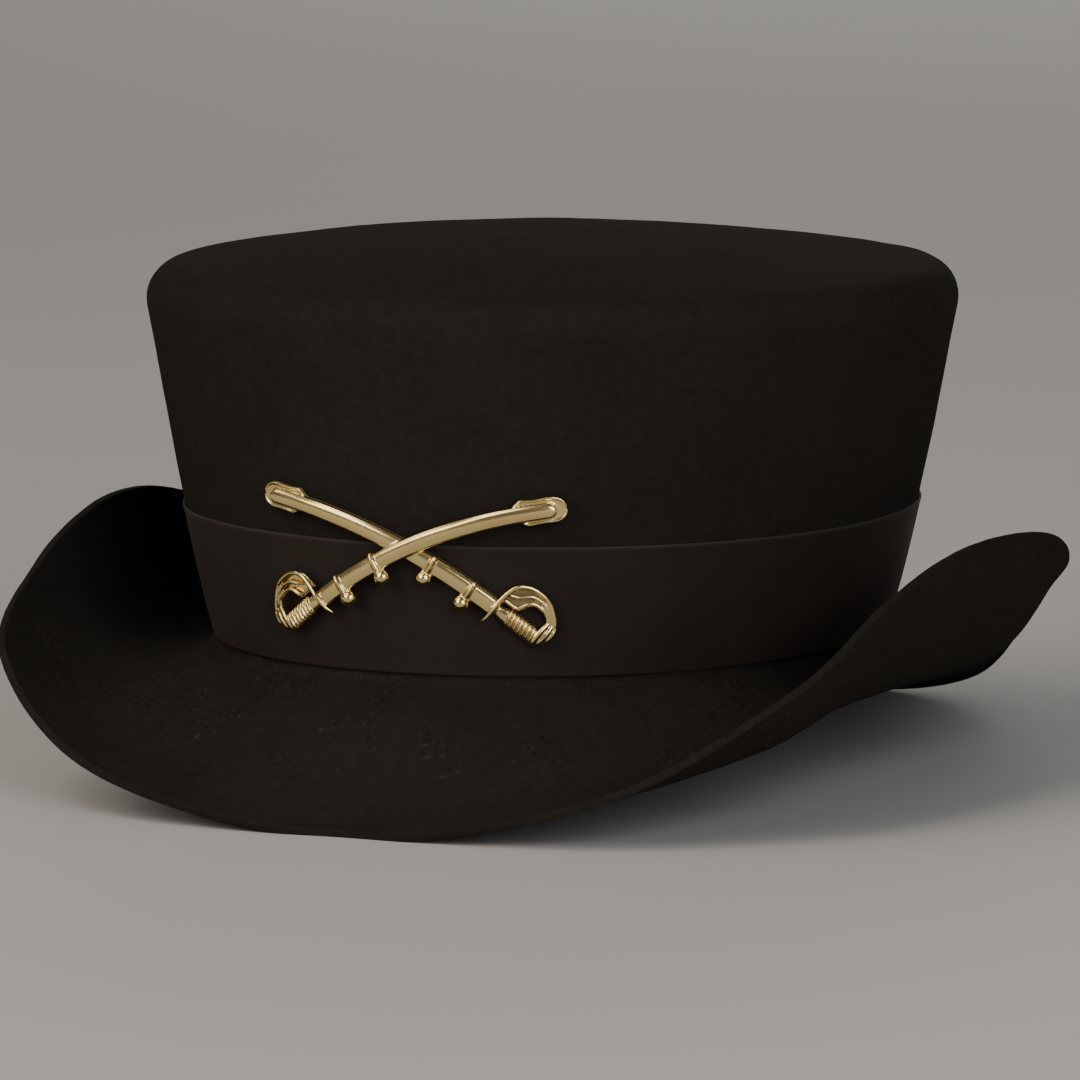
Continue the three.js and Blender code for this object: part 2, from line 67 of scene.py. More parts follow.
# The brim's upper face, one row every 15 degrees from the front to the back: how far the edge is out from
# the crown's foot and above it, and the slopes at the foot and at the edge, in degrees above level.
BRIM_STEP = 15
BRIM_COLUMNS = ("reach", "rise", "leave", "edge")
BRIM_SECTIONS = [
    (45.5, -33.4, -20, -26),
    (52.2, -29.4, -21.5, -18),
    (62.3, -17.6, -23.5, 16),
    (63, 4.2, -26.5, 53),
    (47.8, 21.1, -31, 80),
    (40.2, 29.5, -34, 94),
    (40.5, 31.5, -37.5, 98),
    (45.2, 28.2, -41, 87),
    (49.2, 17.2, -42.5, 55),
    (50.5, 1, -41, 22),
    (56, -24.5, -35.5, -18),
    (53, -33, -29.5, -36),
    (52, -33.4, -25, -40),
]
FOOT_HANDLE = 0.6
EDGE_HANDLE = 0.45
REST_SOFTNESS = 1.0  # how gently the brim comes down to what it rests on
LIES_DOWN = 0.2  # the under face is flat where it would come lower than this

BAND_THICKNESS, BAND_LOW, BAND_HIGH = 0.9, 36.3, 70.9

CROSSING_S, CROSSING_Z = 1.3, 70.1  # where the sabres cross
SABRE_SLOPE = 25.8
SABRE_BOW = 125.0
GUARD_AT = -28.0
TIP_AT = 42.6
OVER_LIFT = 1.3
POST_S, POST_Z, POST_RADIUS = 15.2, -8.0, 1.1  # from the crossing
CLUTCH_RADIUS, CLUTCH_HEIGHT, CLUTCH_FLOOR = 4.6, 2.6, 0.8

BAND_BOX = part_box("hat_band")
CENTRE_Y = (BAND_BOX[0].y + BAND_BOX[1].y) / 2 / MM  # the crown's axis, in the part's frame


# ---------- meshes ----------
def mesh_object(name, points, faces):
    """A piece from points in millimetres, measured from the crown's axis."""
    places = (np.asarray(points, float) + (0, CENTRE_Y, 0)) * MM
    mesh = bpy.data.meshes.new(name)
    mesh.from_pydata(places.tolist(), [], [tuple(int(i) for i in face) for face in faces])
    mesh.validate()
    mesh.polygons.foreach_set("use_smooth", [True] * len(mesh.polygons))
    mesh.update()
    obj = bpy.data.objects.new(name, mesh)
    bpy.context.scene.collection.objects.link(obj)
    return obj


def grid_faces(rows, columns, turned=False):
    """Quads over rows of points that each close on themselves."""
    faces = []
    for r in range(rows - 1):
        low, high = r * columns, (r + 1) * columns
        for i in range(columns):
            j = (i + 1) % columns
            quad = (low + i, low + j, high + j, high + i)
            faces.append(quad[::-1] if turned else quad)
    return faces


# ---------- the crown's wall ----------
def oval(length, width, angle):
    """Points of an oval and the directions straight out of it."""
    c, s = np.cos(angle), np.sin(angle)
    size = (np.abs(c) ** OVAL_POWER + np.abs(s) ** OVAL_POWER) ** (-1 / OVAL_POWER)
    x, y = width * size * s, -length * size * c
    nx = np.sign(x) * np.abs(x / width) ** (OVAL_POWER - 1) / width
    ny = np.sign(y) * np.abs(y / length) ** (OVAL_POWER - 1) / length
    long = np.hypot(nx, ny)
    return x, y, nx / long, ny / long


def wall_oval(z):
    share = np.maximum(z - FOOT_Z, 0) / (WIDEST_Z - FOOT_Z)
    grow = share**FLARE_POWER
    return (
        FOOT_LENGTH + (WIDEST_LENGTH - FOOT_LENGTH) * grow,
        FOOT_WIDTH + (WIDEST_WIDTH - FOOT_WIDTH) * grow,
    )


def wall(angle, z, stand_off=0.0):
    length, width = wall_oval(z)
    x, y, nx, ny = oval(length, width, angle)
    return np.stack([x + nx * stand_off, y + ny * stand_off, z + 0 * x], -1)


# ---------- felt ----------
AROUND = 288
TIP_RINGS, EDGE_RINGS, WALL_RINGS, FOLD_RINGS, BRIM_RINGS = 32, 10, 40, 8, 40
CROWN_RINGS = TIP_RINGS + EDGE_RINGS + WALL_RINGS + 3  # from the tip down to just under the ribbon


def brim_value(column, angle):
    rows = np.array(BRIM_SECTIONS, float)[:, BRIM_COLUMNS.index(column)]
    last = len(rows) - 1
    turned = np.abs((angle + math.pi) % (2 * math.pi) - math.pi) / DEG / BRIM_STEP
    first = np.minimum(turned.astype(int), last - 1)
    t = turned - first

    def row(i):
        i = np.abs(i)
        return rows[np.where(i > last, 2 * last - i, i)]

    a, b, c, d = row(first - 1), row(first), row(first + 1), row(first + 2)
    return b + 0.5 * t * (c - a + t * (2 * a - 5 * b + 4 * c - d + t * (3 * (b - c) + d - a)))


def brim_sections(angle, samples=160):
    """The sections' curves at all angles: out from the foot, up from it, and the length so far."""
    reach, rise = brim_value("reach", angle), brim_value("rise", angle)
    leave, edge = brim_value("leave", angle) * DEG, brim_value("edge", angle) * DEG
    chord = np.hypot(reach, rise)
    s = np.linspace(0, 1, samples)[None, :]

    def curve(foot_direction, end, edge_direction):
        p1 = (FOOT_HANDLE * chord * foot_direction)[:, None]
        p2 = (end - EDGE_HANDLE * chord * edge_direction)[:, None]
        return 3 * s * (1 - s) ** 2 * p1 + 3 * s**2 * (1 - s) * p2 + s**3 * end[:, None]

    out = curve(np.cos(leave), reach, np.cos(edge))
    up = curve(np.sin(leave), rise, np.sin(edge))
    steps = np.hypot(np.diff(out, axis=1), np.diff(up, axis=1))
    length = np.concatenate([np.zeros((len(angle), 1)), np.cumsum(steps, 1)], 1)
    return out, up, length


def pressed(z, lowest):
    above = z - lowest
    bend = lowest + (above + REST_SOFTNESS) ** 2 / (4 * REST_SOFTNESS)
    return np.where(above >= REST_SOFTNESS, z, np.where(above <= -REST_SOFTNESS, lowest, bend))


def felt_rings(angle):
    """The felt's outer face as rings from near the middle of the tip to the brim's edge."""
    rings = []
    lean = math.atan((WIDEST_WIDTH - FOOT_WIDTH) * FLARE_POWER / (WIDEST_Z - FOOT_Z))
    rim = TIP_EDGE_RADIUS * (1 - math.cos(lean))
    flat_turn = math.pi / 2 - math.atan(2 * TIP_DOME / WIDEST_WIDTH)

    def edge_oval(turn):
        inset = TIP_EDGE_RADIUS * (1 - math.cos(turn)) - rim
        z = WIDEST_Z + TIP_EDGE_RADIUS * (math.sin(turn) + math.sin(lean))
        return inset, z

    inset, tip_z = edge_oval(flat_turn)
    for share in np.linspace(0, 1, TIP_RINGS + 2)[1:-1]:
        x, y, _, _ = oval(WIDEST_LENGTH - inset, WIDEST_WIDTH - inset, angle)
        z = tip_z + TIP_DOME * (1 - share**2)
        rings.append(np.stack([x * share, y * share, z + 0 * x], -1))
    for turn in np.linspace(flat_turn, -lean, EDGE_RINGS + 1)[:-1]:
        inset, z = edge_oval(turn)
        x, y, _, _ = oval(WIDEST_LENGTH - inset, WIDEST_WIDTH - inset, angle)
        rings.append(np.stack([x, y, z + 0 * x], -1))
    for z in np.linspace(WIDEST_Z, FOOT_Z + FOLD, WALL_RINGS):
        rings.append(wall(angle, z))

    x, y, nx, ny = oval(FOOT_LENGTH, FOOT_WIDTH, angle)
    out, up, length = brim_sections(angle)
    at = np.arange(len(angle))

    def on_brim(distance):
        places = [np.interp(distance[i], length[i], out[i]) for i in at]
        heights = [np.interp(distance[i], length[i], up[i]) for i in at]
        return np.array(places), np.array(heights)

    def from_foot(o, u):
        return np.stack([x + nx * o, y + ny * o, FOOT_Z + u], -1)

    above = wall(angle, FOOT_Z + FOLD) - wall(angle, FOOT_Z)
    wall_out = np.hypot(above[:, 0], above[:, 1])
    brim_out, brim_up = on_brim(np.full(len(angle), FOLD))
    for t in np.linspace(0, 1, FOLD_RINGS + 1)[1:]:
        o = (1 - t) ** 2 * wall_out + t**2 * brim_out
        u = (1 - t) ** 2 * FOLD + t**2 * brim_up
        rings.append(from_foot(o, u))
    whole = length[:, -1]
    for share in np.linspace(0, 1, BRIM_RINGS + 1)[1:]:
        ring = from_foot(*on_brim(FOLD + (whole - FOLD) * share))
        ring[:, 2] = pressed(ring[:, 2], FELT)
        rings.append(ring)
    return np.array(rings)


def normals_of(rings):
    down = np.gradient(rings, axis=0)
    around = np.roll(rings, -1, axis=1) - np.roll(rings, 1, axis=1)
    normal = np.cross(down, around)
    return normal / np.linalg.norm(normal, axis=2)[..., None]


UNEVENNESS = [(46, 0.42, 3.1), (17, 0.16, 8.7), (6.5, 0.055, 21.3)]  # size, depth, seed
INNER_SHARE = 0.8  # how much of it the felt's inner face follows
LIE_HEIGHT = 6  # it fades out over this height above the surface that the brim rests on
UNDER_RIBBON = 0.03  # how far out the felt may stand behind the ribbon
RIBBON_EASE, EASE_FROM = 0.12, 0.3  # and its gain a mm, from this far above the ribbon
FLOOR_CLEARANCE = 0.01
TIP_PEAK = 0.02  # the tip's middle point over the ring round it

# The brim's raw edge: how square its section is, how far it bulges, and the size and depth of its roughness.
EDGE_SQUARENESS, EDGE_BULGE = 0.55, 0.42
EDGE_GRAIN, EDGE_ROUGHNESS = 0.9, 0.09


def unevenness(rings, freedom):
    """How far a hand-blocked felt stands in or out of its even form, in mm."""
    lift = np.zeros(rings.shape[:2])
    for size, depth, seed in UNEVENNESS:
        start = Vector((seed, 0, 0))
        for r, ring in enumerate(rings):
            lift[r] += depth * np.array([noise.noise(Vector(p) / size + start) for p in ring])
    return lift * freedom


def make_felt():
    angle = np.arange(AROUND) / AROUND * 2 * math.pi
    outer = felt_rings(angle)
    normal = normals_of(outer)
    # The felt lies still where the surface under it presses it flat.
    freedom = np.clip((outer[..., 2] - FELT) / LIE_HEIGHT, 0, 1)
    lift = unevenness(outer, freedom)
    # The ribbon draws the crown's foot in, so the felt stays behind it.
    above_ribbon = np.maximum(outer[..., 2] - BAND_HIGH - EASE_FROM, 0)
    drawn_in = np.minimum(lift, UNDER_RIBBON + RIBBON_EASE * above_ribbon)
    on_crown_wall = np.arange(len(outer))[:, None] < CROWN_RINGS
    lift = np.where(on_crown_wall, drawn_in, lift)
    inner = outer - normal * FELT
    inner[..., 2] = np.where(inner[..., 2] < LIES_DOWN, 0, inner[..., 2])
    outer = outer + normal * lift[..., None]
    inner = inner + normal * lift[..., None] * INNER_SHARE

    # The raw edge, cut square and a little rounded.
    o, i = outer[-1], inner[-1]
    middle, half = (o + i) / 2, (o - i) / 2
    ahead = outer[-1] - outer[-2]
    side = half / np.linalg.norm(half, axis=1)[:, None]
    ahead -= side * (ahead * side).sum(1)[:, None]
    ahead /= np.linalg.norm(ahead, axis=1)[:, None]
    edge = []
    for turn in np.linspace(90, -90, 11)[1:-1] * DEG:
        across = math.copysign(abs(math.sin(turn)) ** EDGE_SQUARENESS, turn)
        out = EDGE_BULGE * math.cos(turn) ** EDGE_SQUARENESS
        rough = np.array([noise.noise(Vector(p) / EDGE_GRAIN + Vector((turn, 5, 0))) for p in middle])
        edge.append(middle + half * across + ahead * (out + EDGE_ROUGHNESS * rough)[:, None])
    rows = [*outer, *edge, *inner[::-1]]
    points = [(p[0], p[1], max(p[2], FLOOR_CLEARANCE)) for row in rows for p in row]
    faces = grid_faces(len(rows), AROUND, turned=True)
    tip_z = outer[0][:, 2].mean()
    top, under = len(points), len(points) + 1
    points += [(0, 0, tip_z + TIP_PEAK), (0, 0, tip_z + TIP_PEAK - FELT)]
    last = (len(rows) - 1) * AROUND
    for a in range(AROUND):
        b = (a + 1) % AROUND
        faces += [(top, a, b), (under, last + b, last + a)]
    return mesh_object("felt_hat_body", points, faces)


# ---------- ribbon band ----------
BAND_ROWS = 420
RIBBON_FACE, RIBBON_BACK = 0.8, 0.14  # how far the ribbon's two faces stand off the felt
RIBBON_NEAREST = 0.08  # and the least that any of it does
WEAVE_UNIT = 100  # mm to one unit of the weave's UV map
LAP, LAP_LIFT = 14.0, 0.72  # how far the ribbon's ends lap at the back, and the upper one's rise there
CLIMB_BEFORE, CLIMB_LENGTH = 9, 8  # where before the lap the upper end begins to rise, and over what length
TURNED_END = 0.9  # the upper end is folded in over this length
WAVE_DEPTH, WAVE_LENGTH = 0.16, 31  # up and down along the ribbon
RIPPLE_DEPTH, RIPPLE_LENGTH = 0.09, 19  # in and out

STITCHES, STITCH_MARGIN = 9, 2.6  # down the lap, this far from the ribbon's edges
STITCH_STEPS, STITCH_SIDES, STITCH_RADIUS = 6, 8, 0.2
STITCH_INSET, STITCH_RUN, STITCH_SLANT = 0.9, 1.9, 0.5
STITCH_STAND, STITCH_ARCH = 0.69, 0.14  # over the ribbon's face
STITCH_DROP, DROP_FROM, DROP_RUN = 0.64, 0.45, 0.55  # down to the ribbon's lower end, in shares of its run


def oval_run(length, width):
    """Angles from the back round through the front to the back, and the oval's length up to each."""
    fine = np.linspace(-math.pi, math.pi, 4001)
    x, y, _, _ = oval(length, width, fine)
    run = np.concatenate([[0], np.cumsum(np.hypot(np.diff(x), np.diff(y)))])
    return fine, run


def make_band():
    full = BAND_HIGH - BAND_LOW
    face = RIBBON_FACE
    # The section, as (height, stand off the felt), with a small bead along either selvedge.
    section = [
        (0.05, face - 0.55),
        (0.0, face - 0.3),
        (0.12, face + 0.02),
        (0.4, face + 0.1),
        (0.8, face + 0.06),
    ]
    section += [(height, face) for height in np.linspace(1.4, full - 1.4, 17)]
    section += [
        (full - 0.8, face + 0.07),
        (full - 0.5, face + 0.13),
        (full - 0.16, face + 0.06),
        (full, face - 0.2),
        (full - 0.04, face - 0.5),
    ]
    section += [(height, RIBBON_BACK) for height in np.linspace(full - 0.3, 0.3, 9)]
    middle = (face + RIBBON_BACK) / 2
    fine, run = oval_run(*wall_oval((BAND_LOW + BAND_HIGH) / 2))
    whole = run[-1]
    points, along_all = [], []
    start, end = -LAP / 2, whole + LAP / 2
    for distance in np.linspace(start, end, BAND_ROWS):
        angle = np.interp(distance % whole, run, fine)
        # The last stretch of the ribbon climbs over its own beginning.
        over = np.clip((distance - (whole - LAP / 2 - CLIMB_BEFORE)) / CLIMB_LENGTH, 0, 1)
        over = over * over * (3 - 2 * over)
        turned_in = np.clip((end - distance) / TURNED_END, 0, 1)
        thick = math.sqrt(max(1 - (1 - turned_in) ** 2, 0.02))
        wave = WAVE_DEPTH * noise.noise(Vector((distance / WAVE_LENGTH, 4.2, 0)))
        for height, stand in section:
            share = height / full
            z = BAND_LOW + height + wave * (0.4 + 0.6 * share)
            ripple = RIPPLE_DEPTH * noise.noise(Vector((distance / RIPPLE_LENGTH, share * 1.7, 9.4)))
            d = middle + (stand - middle) * thick + over * LAP_LIFT + ripple * (1 - over)
            points.append(wall(np.array([angle]), z, max(d, RIBBON_NEAREST))[0])
            along_all.append((distance, height))
    size = len(section)
    faces = grid_faces(BAND_ROWS, size, turned=True)
    faces.append(tuple(range(size)))
    faces.append(tuple(range(len(points) - size, len(points)))[::-1])
    band = mesh_object("ribbon_band", points, faces)
    weave = band.data.uv_layers.new(name="weave")
    for loop in band.data.loops:
        distance, height = along_all[loop.vertex_index]
        weave.data[loop.index].uv = (distance / WEAVE_UNIT, height / WEAVE_UNIT)
    return band


def make_stitches():
    """Small slip stitches that hold the ribbon's turned-in end down at the back."""
    points, faces = [], []
    fine, run = oval_run(*wall_oval((BAND_LOW + BAND_HIGH) / 2))
    whole = run[-1]
    sides, steps = STITCH_SIDES, STITCH_STEPS
    for i in range(STITCHES):
        z = BAND_LOW + STITCH_MARGIN + i * (BAND_HIGH - BAND_LOW - 2 * STITCH_MARGIN) / (STITCHES - 1)
        base = len(points)
        for k in range(steps + 1):
            t = k / steps
            arch = math.sin(math.pi * t)
            distance = LAP / 2 - STITCH_INSET + STITCH_RUN * t
            angle = np.interp((whole + distance) % whole, run, fine)
            drop = STITCH_DROP * max(t - DROP_FROM, 0) / DROP_RUN
            stand = RIBBON_FACE + STITCH_STAND + STITCH_ARCH * arch - drop
            tangent = wall(np.array([angle + 0.01]), z)[0] - wall(np.array([angle - 0.01]), z)[0]
            tangent /= np.linalg.norm(tangent)
            outward = np.array([tangent[1], -tangent[0], 0])
            centre = wall(np.array([angle]), z + STITCH_SLANT * t, stand)[0]
            r = STITCH_RADIUS * (0.55 + 0.45 * arch)
            for s in range(sides):
                turn = 2 * math.pi * s / sides
                points.append(centre + outward * r * math.cos(turn) + (0, 0, r * math.sin(turn)))
        for k in range(steps):
            for s in range(sides):
                j = (s + 1) % sides
                low, high = base + k * sides, base + (k + 1) * sides
                faces.append((low + s, high + s, high + j, low + j))
        faces.append(tuple(base + s for s in range(sides)))
        faces.append(tuple(base + steps * sides + s for s in range(sides))[::-1])
    return mesh_object("band_stitches", points, faces)


# ---------- badge, made flat: s to the side, z up from the crossing, d out from the badge's back ----------
class Body:
    """Closed lofts gathered into one list of points and faces."""

    def __init__(self):
        self.points, self.faces = [], []

    def loft(self, rings):
        count = len(rings[0])
        end = (len(rings) - 1) * count
        faces = grid_faces(len(rings), count)
        faces += [tuple(range(count))[::-1], tuple(range(end, end + count))]
        self.add([point for ring in rings for point in ring], faces)

    def add(self, points, faces):
        base = len(self.points)
        self.points.extend(points)
        self.faces.extend(tuple(base + i for i in face) for face in faces)


def smooth_route(stations, steps):
    """Catmull-Rom through stations, which may hold any number of columns."""
    stations = np.array(stations, float)
    last = len(stations) - 1
    out = []
    for at in np.linspace(0, last, steps + 1):
        i = min(int(at), last - 1)
        t = at - i
        a, b = stations[max(i - 1, 0)], stations[i]
        c, d = stations[i + 1], stations[min(i + 2, last)]
        if i == 0:
            a = 2 * b - c
        if i + 2 > last:
            d = 2 * c - b
        out.append(b + 0.5 * t * (c - a + t * (2 * a - 5 * b + 4 * c - d + t * (3 * (b - c) + d - a))))
    return np.array(out)


def on_sabre(along, across=0.0, d=0.0):
    start = SABRE_SLOPE * DEG
    slope = start - along / SABRE_BOW
    s = SABRE_BOW * (math.sin(start) - math.sin(slope))
    z = SABRE_BOW * (math.cos(slope) - math.cos(start))
    return np.array([s - math.sin(slope) * across, z + math.cos(slope) * across, d])


HILT_SLOPE = 38.0


def on_hilt(x, y, d=0.0):
    """The hilt's own frame: x from the guard to the pommel, y towards the guard's bow."""
    root = on_sabre(GUARD_AT)
    turn = (180 + HILT_SLOPE) * DEG
    return np.array(
        [
            root[0] + x * math.cos(turn) + y * math.sin(turn),
            root[1] + x * math.sin(turn) - y * math.cos(turn),
            d,
        ]
    )


def rod(body, stations, place, steps, sides=14, flat=1.0):
    """A bar along stations of (x, y, d, radius); flat is its depth as a share of its width."""
    route = smooth_route(stations, steps)
    centres = np.array([place(x, y, d) for x, y, d, _ in route])
    along = np.gradient(centres, axis=0)
    along /= np.linalg.norm(along, axis=1)[:, None]
    rings = []
    for centre, direction, radius in zip(centres, along, route[:, 3]):
        side = np.cross((0, 0, 1), direction)
        side /= np.linalg.norm(side)
        up = np.cross(direction, side)
        ring = []
        for k in range(sides):
            turn = 2 * math.pi * (k + 0.5) / sides
            ring.append(centre + side * radius * math.cos(turn) + up * radius * flat * math.sin(turn))
        rings.append(ring)
    body.loft(rings)


BALL_RADIUS, BALL_COLUMNS, BALL_ROWS = 2.2, 20, 12
BALL_POLE = 0.02  # how far short of either pole its rings stop, as a share of a row


def ball(body, centre):
    rings = []
    for r in range(BALL_ROWS + 1):
        turn = math.pi * (r + BALL_POLE) / (BALL_ROWS + 2 * BALL_POLE) - math.pi / 2
        reach, rise = BALL_RADIUS * math.cos(turn), BALL_RADIUS * math.sin(turn)
        ring = []
        for c in range(BALL_COLUMNS):
            around = 2 * math.pi * c / BALL_COLUMNS
            ring.append(centre + (reach * math.cos(around), reach * math.sin(around), rise))
        rings.append(ring)
    body.loft(rings)


# The scabbard's section, from its lower edge to its upper one: a crowned face, and a wide bevel above.
SCABBARD_ROOT_HALF, SCABBARD_TIP_HALF = 2.35, 2.0  # half its width at the guard and at the tip
SCABBARD_THICK, SCABBARD_BASE = 1.9, 0.45
SCABBARD_SHORT, SCABBARD_ROUND = 1.1, 1.9  # how far it ends before the drag's tip, and its rounded length
UPPER_BEVEL, UPPER_BEVEL_DEPTH, LOWER_BEVEL = 0.75, 0.75, 0.3
FACE_CROWN = 0.26  # how far the face swells between its bevels


def scabbard_half(along):
    share = (along - GUARD_AT) / (TIP_AT - GUARD_AT)
    return SCABBARD_ROOT_HALF + (SCABBARD_TIP_HALF - SCABBARD_ROOT_HALF) * share


def make_scabbard(body):
    round_from = TIP_AT - SCABBARD_SHORT - SCABBARD_ROUND
    stations = [(along, 1.0) for along in np.linspace(GUARD_AT - 0.4, round_from, 48)]
    for turn in (15, 30, 45, 58, 70, 80, 87):
        stations.append((round_from + SCABBARD_ROUND * math.sin(turn * DEG), math.cos(turn * DEG)))
    rings = []
    for along, share in stations:
        half = scabbard_half(along) * share
        top, base = SCABBARD_BASE + SCABBARD_THICK, SCABBARD_BASE - 0.15
        low, high = LOWER_BEVEL * share, UPPER_BEVEL * share
        across = [(-half, base), (-half, top - LOWER_BEVEL)]
        for t in np.linspace(0, 1, 9):
            crown = FACE_CROWN * share * math.sin(math.pi * t)
            across.append((-half + low + (2 * half - low - high) * t, top + crown))
        across += [(half, top - UPPER_BEVEL_DEPTH), (half, base)]
        rings.append([on_sabre(along, a, d) for a, d in across])
    body.loft(rings)


# The drag: a lower rim round the scabbard's tip, with a shoulder where it begins on either side.
DRAG_TOP, DRAG_BASE, DRAG_LIP = 1.25, 0.1, 0.42
DRAG_STATIONS = [
    # along, reach above the middle line, reach below it
    (30.2, 2.0, 2.0),
    (31.6, 2.7, 2.05),
    (32.9, 3.55, 2.9),
    (34.2, 3.5, 3.5),
    (36.0, 3.25, 3.4),
    (38.6, 3.35, 3.3),
    (40.4, 3.5, 3.35),
    (41.8, 3.3, 3.2),
    (43.0, 2.7, 2.65),
    (43.9, 1.75, 1.75),
    (44.25, 0.8, 0.8),
]


def make_drag(body):
    rings = []
    lip = DRAG_LIP
    for along, up, down in smooth_route(DRAG_STATIONS, 50):
        across = [
            (-down, DRAG_BASE),
            (-down, DRAG_TOP - 0.1),
            (-down + lip * 0.5, DRAG_TOP + 0.16),
            (-down + lip, DRAG_TOP + 0.14),
            (-down + lip * 1.9, DRAG_TOP - 0.18),
            (up - lip * 1.9, DRAG_TOP - 0.18),
            (up - lip, DRAG_TOP + 0.14),
            (up - lip * 0.5, DRAG_TOP + 0.16),
            (up, DRAG_TOP - 0.1),
            (up, DRAG_BASE),
        ]
        rings.append([on_sabre(along, a, d) for a, d in across])
    body.loft(rings)


SUSPENSION_ALONG = (-20.1, -8.4)
BALL_DROP, BALL_STAND = 1.85, 1.9  # its centre under the scabbard's edge, and off the badge's back


def make_suspension(body, along):
    """A round band over the scabbard, its lower end running into a ball."""
    half = scabbard_half(along)
    top = SCABBARD_BASE + SCABBARD_THICK
    stations = [
        (0.0, half + 0.24, 0.6, 0.5),
        (0.0, half + 0.22, top - 0.6, 0.56),
        (0.0, half - 0.5, top + 0.15, 0.66),
        (0.0, 0.0, top + 0.38, 0.72),
        (0.0, -half + 0.45, top + 0.26, 0.7),
        (0.0, -half - 0.1, top + 0.05, 0.5),
        (0.0, -half - 1.2, top - 0.1, 0.45),
    ]
    rod(body, stations, lambda x, y, d: on_sabre(along + x, y, d), 24)
    ball(body, on_sabre(along, -half - BALL_DROP, BALL_STAND))


# The guard's bars in the hilt's frame, as (x, y, d, radius).
OUTER_BOW = [
    (-1.0, -5.4, 1.4, 0.2),
    (-0.85, -4.7, 1.8, 0.42),
    (-0.55, -3.0, 2.6, 0.56),
    (-0.45, 0.2, 3.1, 0.66),
    (-0.4, 2.6, 2.9, 0.66),
    (-0.15, 5.0, 2.5, 0.64),
    (0.5, 7.5, 2.2, 0.64),
    (1.7, 9.2, 2.0, 0.62),
    (3.6, 10.25, 1.8, 0.6),
    (5.7, 10.65, 1.7, 0.6),
    (8.2, 10.45, 1.6, 0.62),
    (10.4, 9.5, 1.5, 0.66),
    (12.5, 7.8, 1.45, 0.7),
    (13.9, 6.5, 1.4, 0.7),
    (14.6, 5.4, 1.4, 0.6),
]
MIDDLE_BRANCH = [
    (-0.1, 5.0, 2.1, 0.45),
    (1.4, 5.85, 2.0, 0.52),
    (2.6, 6.35, 1.9, 0.54),
    (3.5, 7.15, 1.85, 0.55),
    (4.4, 8.0, 1.8, 0.56),
    (5.4, 8.7, 1.75, 0.56),
    (6.6, 9.0, 1.7, 0.56),
    (8.2, 8.95, 1.6, 0.56),
    (9.8, 8.5, 1.55, 0.56),
    (11.2, 7.8, 1.5, 0.56),
    (12.4, 6.8, 1.45, 0.56),
    (13.4, 5.6, 1.4, 0.5),
]
INNER_BRANCH = [
    (-0.3, 3.6, 2.0, 0.45),
    (1.0, 3.75, 1.95, 0.55),
    (2.2, 3.7, 1.9, 0.56),
    (3.3, 3.65, 1.8, 0.56),
    (4.3, 3.95, 1.75, 0.56),
    (5.0, 4.9, 1.7, 0.56),
    (5.6, 6.1, 1.65, 0.56),
    (6.4, 7.05, 1.6, 0.56),
    (7.5, 7.5, 1.55, 0.56),
    (8.8, 7.5, 1.5, 0.56),
    (10.2, 7.2, 1.45, 0.56),
    (11.4, 6.65, 1.4, 0.56),
    (12.3, 5.7, 1.4, 0.54),
    (12.9, 4.8, 1.35, 0.5),
]
BAR_FLATNESS = 0.8
GUARD_SHEET_TOP, GUARD_SHEET_BASE = 0.75, 0.1


def make_guard(body):
    for bar, steps in ((OUTER_BOW, 60), (MIDDLE_BRANCH, 44), (INNER_BRANCH, 44)):
        rod(body, bar, on_hilt, steps, flat=BAR_FLATNESS)
    # The pierced sheet between the bars, sunk below them.
    outer = smooth_route(OUTER_BOW[4:], 36)
    inner = smooth_route(INNER_BRANCH, 36)
    rings = []
    for far, near in zip(outer, inner):
        rings.append(
            [
                on_hilt(near[0], near[1], GUARD_SHEET_BASE),
                on_hilt(far[0], far[1], GUARD_SHEET_BASE),
                on_hilt(far[0], far[1], GUARD_SHEET_TOP),
                on_hilt(near[0], near[1], GUARD_SHEET_TOP),
            ]
        )
    body.loft(rings)


# The ferrule and the grip: x, its middle in y, half width, height above its base.
GRIP_STATIONS = [
    (-0.6, 0.1, 1.3, 1.1),
    (0.8, 0.12, 1.4, 1.25),
    (2.0, 0.2, 1.75, 1.4),
    (3.3, 0.3, 2.1, 1.55),
    (6.5, 0.35, 2.1, 1.65),
    (10.0, 0.33, 2.05, 1.6),
    (12.4, 0.3, 1.95, 1.5),
]
GRIP_BASE, GRIP_SUNK, GRIP_ROUNDNESS = 0.4, 0.05, 0.7
GRIP_RIBS, FIRST_RIB, RIB_SPACING, RIB_LEAN, RIB_RADIUS = 7, 4.0, 1.18, 0.42, 0.36
GRIP_MIDDLE, RIB_HALF = 0.33, 2.25
RIB_BASE, RIB_RISE, RIB_ROUNDNESS = 0.55, 1.78, 0.75


def make_grip(body):
    rings = []
    for x, middle, half, high in smooth_route(GRIP_STATIONS, 40):
        ring = []
        for turn in np.linspace(0, 180, 13) * DEG:
            rise = (high - GRIP_SUNK) * math.sin(turn) ** GRIP_ROUNDNESS
            ring.append(on_hilt(x, middle + half * math.cos(turn), GRIP_BASE + rise))
        rings.append(ring)
    body.loft(rings)
    for i in range(GRIP_RIBS):
        x = FIRST_RIB + i * RIB_SPACING
        stations = []
        for turn in np.linspace(-4, 184, 9) * DEG:
            side = math.cos(turn)
            rise = RIB_RISE * math.sin(turn) ** RIB_ROUNDNESS if 0 < turn < math.pi else 0
            across = GRIP_MIDDLE + RIB_HALF * side
            stations.append((x - RIB_LEAN * side, across, RIB_BASE + rise, RIB_RADIUS))
        rod(body, stations, on_hilt, 22, sides=10)


